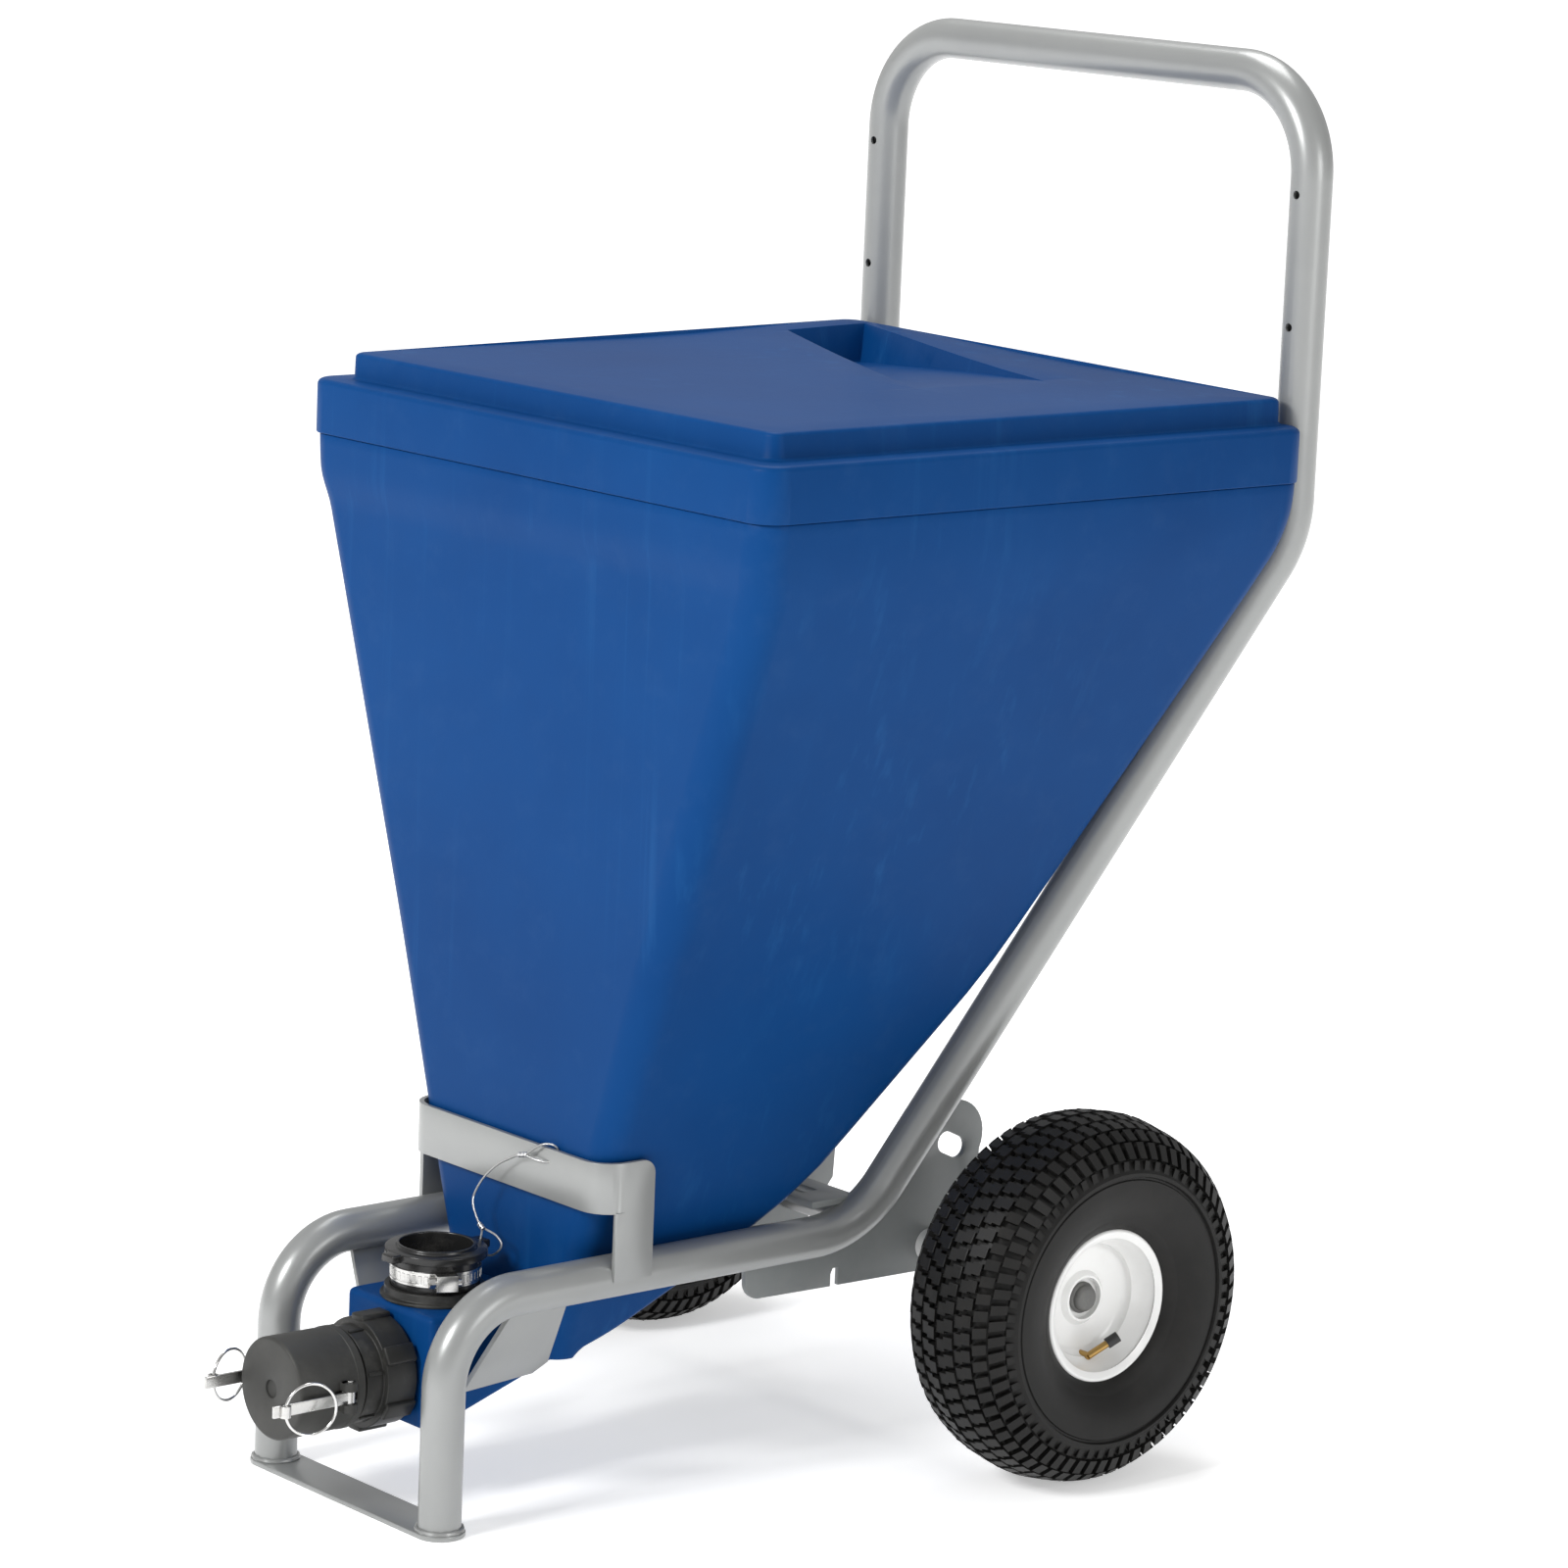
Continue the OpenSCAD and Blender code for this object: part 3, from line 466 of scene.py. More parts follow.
cap_zinc = finish("cap_zinc", (0.135, 0.135, 0.13), (0.17, 0.17, 0.165), 0.5,
                  1100, 0.00004, dust_amount=0.2, metallic=0.5)
valve_brass = finish("valve_brass", (0.40, 0.24, 0.075), (0.50, 0.33, 0.12), 0.3,
                     1500, 0.00003, dust_amount=0.25, dust_colour=(0.12, 0.09, 0.05),
                     metallic=1.0)
cap_black = finish("valve_cap_black", (0.018, 0.018, 0.018), (0.03, 0.03, 0.03), 0.5,
                   1500, 0.00004)
print("finishes so far:", len(bpy.data.materials))

# %% [markdown]
# The hopper and its lid are rotomoulded polyethylene: a satin blue with faint pale marks that
# run down the walls where it was pulled from the mould, and a waxy sheen. The marks are a
# noise stretched along Z, thin and pale.

# %% Hopper plastic
HOPPER_TONE_A = (0.0014, 0.039, 0.155)
HOPPER_TONE_B = (0.0022, 0.049, 0.185)
HOPPER_MARK = (0.014, 0.095, 0.27)

hopper_plastic = finish("hopper_plastic", HOPPER_TONE_A, HOPPER_TONE_B, 0.44, 520, 0.00010,
                        dust_amount=0.03, dust_colour=(0.12, 0.22, 0.40), drift_scale=3.5,
                        specular=0.07)
tree = hopper_plastic.node_tree
shader = tree.nodes["Principled BSDF"]
base_colour = shader.inputs["Base Color"].links[0].from_socket
place = node(tree, "TexCoord").outputs["Object"]
pulled = node(tree, "Mapping", {"Vector": place, "Scale": (55, 55, 1.1)}).outputs["Vector"]
streaks = node(tree, "TexNoise", {"Vector": pulled, "Scale": 1.0, "Detail": 4.0,
                                  "Roughness": 0.65})
patchy = node(tree, "TexNoise", {"Vector": place, "Scale": 5.0, "Detail": 2.0})
streak_mask = node(tree, "Math", {0: ramp(tree, streaks.outputs["Fac"], 0.55, 0.80, 0, 0.55),
                                  1: ramp(tree, patchy.outputs["Fac"], 0.42, 0.62)},
                   operation="MULTIPLY")
marked = node(tree, "Mix", {"Factor": streak_mask.outputs[0], 6: base_colour,
                            7: rgba(HOPPER_MARK)}, data_type="RGBA")
tree.links.new(marked.outputs[2], shader.inputs["Base Color"])
print("hopper plastic ready")

# %% [markdown]
# ## The lanyard
# A thin wire rope ties the top port's plug to the strap, so that it can't be lost. The real
# one is about 80 mm between its crimped sleeves, and it is stiff enough to stand in an arc.
# Its route repeats the CAD route. The tube is plain and round, and the twist of the strands is
# a bump of fine slanting ridges in its material.

# %% Wire rope
WIRE_DIAMETER = 0.0016
WIRE_ROUTE = [(28, -173, 249), (10, -176, 239), (-3, -179, 227), (-12, -181, 213),
              (-13, -182, 204), (-9, -182, 196), (-6, -181, 190)]
STRAP_LOOP = [(37, -172, 252), (51, -170, 261.5), (59, -166, 262.5), (60.5, -162.2, 258.5),
              (59, -162.2, 252.5), (57.3, -163, 249.4), (55.5, -167, 248.8), (48, -170.5, 249),
              (37, -172, 250)]
EAR_LOOP = [(0.5, -180, 187), (10, -178, 184.5), (16.5, -177.5, 180), (15.5, -178, 174.5),
            (10, -180, 169.5), (4, -183, 168.8), (0.3, -184.4, 171), (0, -184.4, 177.5),
            (-1.2, -182.5, 182.5), (-2.2, -181, 186)]
FERRULES = [((28, -173, 249), (37, -172, 251)), ((-6, -181, 190), (-1, -180.5, 186.5))]


def wire_finish():
    """Steel wire with the twist of its strands as fine slanting ridges."""
    material = finish("wire_steel", (0.55, 0.55, 0.54), (0.68, 0.68, 0.67), 0.3, 1500, 0.00001,
                      metallic=1.0)
    made = material.node_tree
    principled = made.nodes["Principled BSDF"]
    where = node(made, "TexCoord").outputs["UV"]
    twist = node(made, "Mapping", {"Vector": where, "Scale": (3, 1, 1), "Rotation": (0, 0, 0.6)})
    strands = node(made, "TexWave", {"Vector": twist.outputs["Vector"], "Scale": 1.0},
                   wave_profile="SIN")
    ridges = node(made, "Bump", {"Height": strands.outputs["Fac"], "Strength": 0.8,
                                 "Distance": 0.0001})
    made.links.new(ridges.outputs["Normal"], principled.inputs["Normal"])
    return material


def unwrap_along(piece, sides):
    """Gives a swept tube a UV map: once round across, and millimetres along."""
    mesh = piece.data
    layer = mesh.uv_layers.new(name="UVMap")
    for loop in mesh.loops:
        ring, place_on_ring = divmod(loop.vertex_index, sides)
        layer.data[loop.index].uv = (place_on_ring / sides, ring)


wire_steel = wire_finish()
WIRE_SIDES = 10
points = spline_points(WIRE_ROUTE, 10)
wire = add_piece("wire_rope", swept(points, WIRE_DIAMETER / 2 / MM, WIRE_SIDES), wire_steel,
                 "frame", ["lanyard_wire"])
unwrap_along(wire, WIRE_SIDES)

# %% Loops and crimped sleeves
loops_bm = bmesh.new()
for route in (STRAP_LOOP, EAR_LOOP):
    join_in(loops_bm, swept(spline_points(route, 6), WIRE_DIAMETER / 2 / MM, WIRE_SIDES))
wire_loops = add_piece("wire_loops", loops_bm, wire_steel, "frame",
                       ["lanyard_loops"])
unwrap_along(wire_loops, WIRE_SIDES)

ferrule_bm = bmesh.new()
for start, end in FERRULES:
    start, end = Vector(start), Vector(end)
    stations = [start.lerp(end, k / 12) for k in range(13)]
    join_in(ferrule_bm, swept(stations, lambda i: 2.1 - (0.45 if i in (3, 4, 8, 9) else 0)
                              - (0.5 if i in (0, 12) else 0), 16))
aluminium = finish("crimped_aluminium", (0.62, 0.62, 0.62), (0.75, 0.75, 0.75), 0.34,
                   1400, 0.00003, metallic=0.9)
ferrules = add_piece("crimped_sleeves", ferrule_bm, aluminium, "frame",
                     ["lanyard_ferrules"])

# %% [markdown]
# ## The hopper
# The tapered body is a loft: rounded rectangles stacked from foot to rim, each bridged to the
# next. Its width follows a straight taper that eases into the upright band under the lid, and
# its back follows a gentle curve. The same loft, drawn in by the wall, goes down the inside,
# so that the hopper is really hollow when its lid is lifted.

# %% Rounded rectangles and lofts
RING_SIDES = 96


def rounded_ring(bm, half_w, y0, y1, z, front_r, back_r):
    """A ring of vertices on a rectangle with round corners, spread evenly over its corners."""
    ring = bmesh.ops.create_circle(bm, segments=RING_SIDES, radius=1)["verts"]
    ring.sort(key=lambda v: math.atan2(v.co.y, v.co.x) % (2 * math.pi))
    per_corner = RING_SIDES // 4
    corners = [(1, y1, back_r, 0), (-1, y1, back_r, 90), (-1, y0, front_r, 180),
               (1, y0, front_r, 270)]
    for i, vert in enumerate(ring):
        corner, step = divmod(i, per_corner)
        sign, y, radius, start = corners[corner]
        angle = math.radians(start + 90 * step / (per_corner - 1))
        centre_y = y - radius if y == y1 else y + radius
        vert.co = (sign * (half_w - radius) + radius * math.cos(angle),
                   centre_y + radius * math.sin(angle), z)
    return ring


def ring_edges(bm, ring):
    members = set(ring)
    return [e for v in ring for e in v.link_edges if e.other_vert(v) in members]


def loft(bm, rings):
    """Bridges each ring to the next."""
    for one, two in zip(rings, rings[1:]):
        edges = set(ring_edges(bm, one)) | set(ring_edges(bm, two))
        bmesh.ops.bridge_loops(bm, edges=list(edges))


def ease(value, low, high):
    """0 below low, 1 above high, and a smooth step between."""
    t = min(max((value - low) / (high - low), 0), 1)
    return t * t * (3 - 2 * t)


# %% Hopper sizes, from the frame
AXLE_Y = node_centre("axle").y
AXLE_Z = node_centre("axle").z
TANK_LOW, TANK_HIGH = node_box("hopper_tank")
LID_LOW, LID_HIGH = node_box("lid")
WALL = 5
RIM_Z = LID_LOW.z - 0.4
UPSTAND_Z = TANK_HIGH.z
FRONT_Y = AXLE_Y - 347
BAND_FRONT_Y = TANK_LOW.y
BAND_BACK_Y = TANK_HIGH.y
BAND_HALF_W = TANK_HIGH.x
FOOT_Z = TANK_LOW.z
FOOT_HALF_W = 57
TAPER = (267.8 - FOOT_HALF_W) / (712 - 95)
BACK_LINE = [(95, -325), (119, -262), (205, -130), (372, -1), (712, 178)]


def tank_half_w(z):
    """Straight taper that eases into the upright band."""
    line = FOOT_HALF_W + TAPER * (z - FOOT_Z)
    softness = 5
    gap = (line - BAND_HALF_W) / softness
    return line - softness * math.log1p(math.exp(gap))


def tank_front_y(z):
    return FRONT_Y + (BAND_FRONT_Y - FRONT_Y) * ease(z, 690, 722)


def tank_back_y(z):
    """The back face: straight between its chosen heights, with each bend eased."""
    def line(height):
        pairs = list(zip(BACK_LINE, BACK_LINE[1:]))
        for (z0, y0), (z1, y1) in pairs:
            if height <= z1 or (z1, y1) == BACK_LINE[-1]:
                return y0 + (y1 - y0) * (height - z0) / (z1 - z0)
    reach = min(26, max(z - FOOT_Z, 0) * 0.8)
    samples = [line(min(z + reach * k / 4, 712)) for k in range(-4, 5)]
    return min(AXLE_Y + sum(samples) / len(samples), BAND_BACK_Y)


def tank_ring(bm, z, inset=0, height=None):
    front = tank_front_y(z) + inset
    back = tank_back_y(z) - inset
    half = tank_half_w(z) - inset
    front_r = 20 + 8 * ease(z, 160, 420) * (1 - 0.4 * ease(z, 640, 747))
    front_r = min(front_r - inset, back - front - 1)
    back_r = min(max(20 - inset, 6), back - front - front_r - 0.5)
    return rounded_ring(bm, half, front, back, z if height is None else height, front_r, back_r)


# %% Hopper body
def hopper_heights(low, high):
    """Close together at the foot and the knee, and wide apart between."""
    near_foot = [low + 3 * k for k in range(8)]
    middle = [low + 24 + (690 - low - 24) * k / 22 for k in range(23)]
    knee = [690 + (high - 690) * k / 9 for k in range(1, 10)]
    return near_foot + middle + knee


tank_bm = bmesh.new()
outer = [tank_ring(tank_bm, FOOT_Z + 1.5, inset=2.2, height=FOOT_Z)]
outer += [tank_ring(tank_bm, FOOT_Z + 1.6, inset=0.7, height=FOOT_Z + 0.5)]
outer += [tank_ring(tank_bm, z) for z in hopper_heights(FOOT_Z + 2, RIM_Z - 1.2)]
outer += [tank_ring(tank_bm, RIM_Z, inset=0.4, height=RIM_Z - 0.4)]
outer += [tank_ring(tank_bm, RIM_Z, inset=1.4, height=RIM_Z)]
UPSTAND_IN = 6
outer += [tank_ring(tank_bm, RIM_Z, inset=UPSTAND_IN - 0.8, height=RIM_Z)]
outer += [tank_ring(tank_bm, RIM_Z, inset=UPSTAND_IN, height=RIM_Z + 0.8)]
outer += [tank_ring(tank_bm, RIM_Z, inset=UPSTAND_IN, height=UPSTAND_Z - 1)]
outer += [tank_ring(tank_bm, RIM_Z, inset=UPSTAND_IN + 1, height=UPSTAND_Z)]
inner = [tank_ring(tank_bm, RIM_Z, inset=UPSTAND_IN + WALL - 1, height=UPSTAND_Z)]
inner += [tank_ring(tank_bm, RIM_Z, inset=UPSTAND_IN + WALL, height=UPSTAND_Z - 1)]
inner += [tank_ring(tank_bm, z, inset=WALL + (UPSTAND_IN * ease(z, 640, 700)))
          for z in reversed(hopper_heights(FOOT_Z + WALL, RIM_Z - 1))]
loft(tank_bm, outer + inner)
bmesh.ops.contextual_create(tank_bm, geom=outer[0])
bmesh.ops.contextual_create(tank_bm, geom=inner[-1])
close_up(tank_bm)
print("hopper loft:", len(tank_bm.faces), "faces")

# %% [markdown]
# The outlet box is moulded onto the hopper's foot. It is a box with soft edges, joined to the
# hopper by a boolean union, and then bored out: a hollow inside, a hole on top and one in
# front. Booleans are the right tool here, because the box meets a lofted wall at an angle.

# %% Booleans
def as_object(bm, name):
    mesh = bpy.data.meshes.new(name)
    bm.to_mesh(mesh)
    bm.free()
    made = bpy.data.objects.new(name, mesh)
    bpy.context.scene.collection.objects.link(made)
    return made


def combine(bm, other, operation):
    """bm joined with or cut by other. Frees both and returns the result."""
    base = as_object(bm, "base")
    tool = as_object(other, "tool")
    modifier = base.modifiers.new("boolean", "BOOLEAN")
    modifier.operation = operation
    modifier.solver = "EXACT"
    modifier.object = tool
    depsgraph = bpy.context.evaluated_depsgraph_get()
    result = bmesh.new()
    result.from_mesh(base.evaluated_get(depsgraph).to_mesh())
    for used in (base, tool):
        mesh = used.data
        bpy.data.objects.remove(used)
        bpy.data.meshes.remove(mesh)
    return result


BOX_LOW, BOX_HIGH = node_box("outlet_box")
PORT_Z = node_centre("dust_cap").z
PORT_Y = node_centre("port_nut").y
BOX_EDGE = 5


def outlet_block(inset, edge):
    """A block with soft edges whose floor rises towards the hopper's foot."""
    bm = bmesh.new()
    low_y = BOX_LOW.y + inset
    high_y = FRONT_Y + 18
    outline = [(low_y, BOX_LOW.z + inset), (low_y, BOX_HIGH.z - inset),
               (high_y, BOX_HIGH.z - inset), (high_y, FOOT_Z + 3 + inset),
               (FRONT_Y, 92 + inset)]
    half = BOX_HIGH.x - inset
    verts = [bm.verts.new((-half, y, z)) for y, z in outline]
    face = bm.faces.new(verts)
    swept_out = bmesh.ops.extrude_face_region(bm, geom=[face])["geom"]
    moved = [v for v in swept_out if isinstance(v, bmesh.types.BMVert)]
    bmesh.ops.translate(bm, vec=(2 * half, 0, 0), verts=moved)
    bmesh.ops.recalc_face_normals(bm, faces=bm.faces)
    bmesh.ops.bevel(bm, geom=bm.edges[:], offset=edge, offset_type="OFFSET", affect="EDGES",
                    segments=4, profile=0.5, material=-1, clamp_overlap=True)
    return bm


FRONT_HOLE_R = 28.5
TOP_HOLE_R = 28
tank_bm = combine(tank_bm, outlet_block(0, BOX_EDGE), "UNION")
tank_bm = combine(tank_bm, outlet_block(WALL, 2), "DIFFERENCE")
tank_bm = combine(tank_bm, rod((0, PORT_Y, BOX_HIGH.z - 15), (0, PORT_Y, BOX_HIGH.z + 5),
                               TOP_HOLE_R, 64), "DIFFERENCE")
tank_bm = combine(tank_bm, rod((0, BOX_LOW.y - 5, PORT_Z), (0, BOX_LOW.y + 15, PORT_Z),
                               FRONT_HOLE_R, 64), "DIFFERENCE")
hopper = add_piece("hopper_body", tank_bm, hopper_plastic, "frame",
                   ["hopper_tank", "outlet_box"], sharp=math.radians(40))

# %% [markdown]
# ## The lid
# The lid is a shallow tray turned over the hopper's rim, with a raised panel and a finger
# scoop. Its walls are lofted like the hopper's. The panel's top starts as one flat face. The
# scoop's depth at a place is the least of four tilted planes: a gentle ramp and three steep
# walls. The face is cut along every line where two of those planes meet, and then each corner
# is simply set to its depth, so the creases are exact.

# %% Scoop planes
SKIRT_TOP_Z = LID_LOW.z + 41
PANEL_IN = 22.5
PANEL_BACK_IN = 6
SCOOP_DEPTH = 25
SCOOP_LEFT_X = -215
SCOOP_RIGHT_X = 96
SCOOP_FRONT_Y = AXLE_Y + 78
SCOOP_BACK_Y = AXLE_Y + 160
SCOOP_DRIFT = 93
WALL_STEEPNESS = 4.5


def wall_plane(start, end):
    """Depth as a linear function (a, b, c) that is zero on the line and grows to its right."""
    run = Vector(end) - Vector(start)
    inward = Vector((run.y, -run.x)).normalized() * WALL_STEEPNESS
    return inward.x, inward.y, -inward.dot(Vector(start))


def scoop_planes():
    """The left, back and front walls and the ramp that rises from the left to the right."""
    front_left = (SCOOP_LEFT_X, SCOOP_FRONT_Y)
    back_left = (SCOOP_LEFT_X, SCOOP_BACK_Y)
    back_right = (SCOOP_RIGHT_X, SCOOP_BACK_Y - SCOOP_DRIFT)
    front_right = (SCOOP_RIGHT_X, SCOOP_FRONT_Y - 1.5 * SCOOP_DRIFT)
    slope = SCOOP_DEPTH / (SCOOP_RIGHT_X - SCOOP_LEFT_X)
    return [wall_plane(front_left, back_left), wall_plane(back_left, back_right),
            wall_plane(front_right, front_left), (-slope, 0, slope * SCOOP_RIGHT_X)]


def scoop_depth(x, y):
    return max(0, min(a * x + b * y + c for a, b, c in scoop_planes()))


def cut_along(bm, faces, plane):
    """Splits the faces along the line where a linear function of x and y is zero."""
    a, b, c = plane
    size = a * a + b * b
    region = set(faces) | {e for f in faces for e in f.edges} | {v for f in faces for v in f.verts}
    cut = bmesh.ops.bisect_plane(bm, geom=list(region), dist=0.001,
                                 plane_co=(-a * c / size, -b * c / size, 0), plane_no=(a, b, 0))
    return [g for g in cut["geom"] if isinstance(g, bmesh.types.BMFace)]


def lid_swell(x, y):
    """The moulding stands a little proud towards its far left corner."""
    return 6 * ease(-x, -60, 250) * ease(y, AXLE_Y - 60, AXLE_Y + 175)


def panel_top(bm, ring, drop):
    """Fills a ring with the panel's top, cut and set to the scoop's heights."""
    faces = bmesh.ops.contextual_create(bm, geom=ring)["faces"]
    planes = scoop_planes()
    cuts = list(planes)
    cuts += [tuple(p - q for p, q in zip(one, two))
             for k, one in enumerate(planes) for two in planes[k + 1:]]
    cuts += [(1, 0, -x) for x in range(-210, 211, 60)]
    cuts += [(0, 1, -(AXLE_Y + y)) for y in range(-300, 180, 60)]
    for plane in cuts:
        faces = cut_along(bm, faces, plane)
    for vert in {v for f in faces for v in f.verts}:
        vert.co.z = LID_HIGH.z - drop - scoop_depth(vert.co.x, vert.co.y)
    return faces


# %% Lid
def lid_ring(bm, inset, back_inset, z, corner):
    return rounded_ring(bm, LID_HIGH.x - inset, LID_LOW.y + inset, LID_HIGH.y - back_inset, z,
                        corner, corner)


lid_bm = bmesh.new()
SKIRT_EDGE = 4.5
PANEL_EDGE = 3.5
lid_outside = [lid_ring(lid_bm, 0.7, 0.7, LID_LOW.z, 21), lid_ring(lid_bm, 0, 0, LID_LOW.z + 0.8, 22)]
for inset, z in arc((SKIRT_EDGE, SKIRT_TOP_Z - SKIRT_EDGE), SKIRT_EDGE, 180, 90, 5):
    lid_outside.append(lid_ring(lid_bm, inset, inset, z, 22 - inset * 0.5))
fillet = 3
for k, (inset, z) in enumerate(arc((PANEL_IN - fillet, SKIRT_TOP_Z + fillet), fillet, 270, 350, 4)):
    back = inset - PANEL_IN + PANEL_BACK_IN
    lid_outside.append(lid_ring(lid_bm, inset, max(back, SKIRT_EDGE + 0.1 * k), z, 13))
for inset, z in arc((PANEL_IN + PANEL_EDGE + 0.8, LID_HIGH.z - PANEL_EDGE), PANEL_EDGE, 180, 90, 5):
    lid_outside.append(lid_ring(lid_bm, inset, inset - PANEL_IN + PANEL_BACK_IN, z, 11))
lid_inside = [lid_ring(lid_bm, 4, 4, LID_LOW.z, 18), lid_ring(lid_bm, WALL, WALL, LID_LOW.z + 1, 17)]
lid_inside += [lid_ring(lid_bm, WALL, WALL, SKIRT_TOP_Z - WALL - 4, 17)]
lid_inside += [lid_ring(lid_bm, WALL + 4, WALL + 4, SKIRT_TOP_Z - WALL, 15)]
lid_inside += [lid_ring(lid_bm, PANEL_IN + WALL, PANEL_BACK_IN + WALL, SKIRT_TOP_Z - WALL, 8)]
lid_inside += [lid_ring(lid_bm, PANEL_IN + WALL + 1, PANEL_BACK_IN + WALL + 1,
                        LID_HIGH.z - WALL, 7)]
loft(lid_bm, lid_outside)
loft(lid_bm, lid_inside)
loft(lid_bm, [lid_outside[0], lid_inside[0]])
top_faces = panel_top(lid_bm, lid_outside[-1], 0)
panel_top(lid_bm, lid_inside[-1], WALL)
close_up(lid_bm)
creases = [e for f in top_faces if f.is_valid for e in f.edges
           if len(e.link_faces) == 2 and all(g in top_faces for g in e.link_faces)
           and e.calc_face_angle(0) > math.radians(8)]
bmesh.ops.bevel(lid_bm, geom=list(set(creases)), offset=2.2, offset_type="OFFSET",
                affect="EDGES", segments=3, profile=0.5, material=-1, clamp_overlap=True)
for vert in lid_bm.verts:
    rise = ease(vert.co.z, SKIRT_TOP_Z + 2, LID_HIGH.z - 6)
    if vert.co.z > SKIRT_TOP_Z - WALL - 1:
        vert.co.z += lid_swell(vert.co.x, vert.co.y) * rise
lid = add_piece("lid_moulding", lid_bm, hopper_plastic, "lid", ["lid"],
                sharp=math.radians(40))

# %% [markdown]
# ## Tyres
# A turf tyre has a round carcass covered in rubber blocks. The carcass is an outline spun
# about the axle: beads, a smooth wall with two raised rings, and a crown. Each block is its
# outline raised into a slab. It is made flat, in millimetres round and across the tread, and
# then wrapped onto the crown. One pitch of blocks is repeated round the tyre with a spin that
# duplicates, every second row half a pitch behind, which gives the brick pattern.

# %% Carcass
TYRE_LOW, TYRE_HIGH = node_box("tyre_right")
RIM_LOW, RIM_HIGH = node_box("rim_right")
WHEEL_X = (TYRE_LOW.x + TYRE_HIGH.x) / 2
TYRE_R = (TYRE_HIGH.z - TYRE_LOW.z) / 2
TYRE_HALF_W = (TYRE_HIGH.x - TYRE_LOW.x) / 2
RIM_R = (RIM_HIGH.z - RIM_LOW.z) / 2
RIM_HALF_W = (RIM_HIGH.x - RIM_LOW.x) / 2
TREAD_DEPTH = 6
BASE_R = TYRE_R - TREAD_DEPTH
CROWN_CORNER = 34
PITCHES = 64


def crown_point(across, height):
    """(radius, along) of a point on the tread, across mm from the middle, height mm up."""
    flat = TYRE_HALF_W - 1.5 - CROWN_CORNER
    corner = CROWN_CORNER - TREAD_DEPTH
    side = math.copysign(1, across)
    beyond = max(abs(across) - flat, 0)
    angle = beyond / (corner + TREAD_DEPTH * 0.6)
    slope = 2.5 * (abs(across) / flat) ** 2 if abs(across) < flat else 2.5
    radius = BASE_R - corner + (corner + height) * math.cos(angle) - slope
    along = min(abs(across), flat) + (corner + height) * math.sin(angle)
    return radius, side * along


def half_carcass():
    points = [(RIM_R - 7.0, RIM_HALF_W - 3), (RIM_R - 1.0, RIM_HALF_W - 2.6),
              (RIM_R + 1.4, RIM_HALF_W + 0.4), (RIM_R + 4.5, RIM_HALF_W + 2.4),
              (RIM_R + 7.5, RIM_HALF_W + 4.6), (RIM_R + 8.6, RIM_HALF_W + 4.9),
              (RIM_R + 10, RIM_HALF_W + 5.8), (RIM_R + 17, RIM_HALF_W + 10.0),
              (RIM_R + 25, RIM_HALF_W + 12.8), (RIM_R + 34, RIM_HALF_W + 13.8),
              (RIM_R + 40.5, RIM_HALF_W + 13.8), (RIM_R + 41.3, RIM_HALF_W + 12.8),
              (RIM_R + 42.6, RIM_HALF_W + 12.8), (RIM_R + 43.6, RIM_HALF_W + 15.2),
              (RIM_R + 46.2, RIM_HALF_W + 15.2), (RIM_R + 47.4, RIM_HALF_W + 13.8)]
    crown = [crown_point(a, 0) for a in (50, 47, 44, 40, 36, 32, 28, 24, 20, 15, 10, 5)]
    return points + [p for p in crown if p[0] > points[-1][0] + 1]


half = half_carcass()
carcass = half + [(BASE_R, 0)] + [(r, -x) for r, x in reversed(half)]
inner_wall = [(r - 5, x * 0.86) for r, x in reversed(half) if r > RIM_R + 6]
inner_back = [(r, -x) for r, x in reversed(inner_wall)]
carcass_outline = carcass + inner_back + [(BASE_R - 7, 0)] + inner_wall

# %% Tread blocks
PITCH = 2 * math.pi * BASE_R / PITCHES


def block_flat(outline, across, taper=0.9):
    """A block from its outline of (round, across) points, its top drawn in a little."""
    bm = bmesh.new()
    verts = [bm.verts.new((u, across + v, 0)) for u, v in outline]
    face = bm.faces.new(verts)
    raised = bmesh.ops.extrude_face_region(bm, geom=[face])["geom"]
    top = [v for v in raised if isinstance(v, bmesh.types.BMVert)]
    bmesh.ops.translate(bm, vec=(0, 0, 1), verts=top)
    centre = sum((v.co for v in top), Vector()) / len(top)
    for vert in top:
        vert.co.x = centre.x + (vert.co.x - centre.x) * taper
        vert.co.y = centre.y + (vert.co.y - centre.y) * (1 + taper) / 2
    bmesh.ops.recalc_face_normals(bm, faces=bm.faces)
    return bm


def wrap_onto_crown(bm, height, sunk=1.2):
    """Bends a flat block round the tyre. Its height runs from 0 to 1."""
    for vert in bm.verts:
        radius, along = crown_point(vert.co.y, -sunk + (height + sunk) * vert.co.z)
        angle = vert.co.x / BASE_R
        vert.co = (along, radius * math.sin(angle), radius * math.cos(angle))


def stepped(length, width, step):
    """A block whose halves are shifted, so that neighbours interlock in a zigzag."""
    half_l, half_w = length / 2, width / 2
    return [(-half_l, -half_w), (half_l - step, -half_w), (half_l - step, 0), (half_l, 0),
            (half_l, half_w), (-half_l + step, half_w), (-half_l + step, 0), (-half_l, 0)]


def lug(length, width, skew):
    """A slab that leans, for the shoulders."""
    half_l, half_w = length / 2, width / 2
    return [(-half_l - skew, -half_w), (half_l - skew, -half_w), (half_l + skew, half_w),
            (-half_l + skew, half_w)]


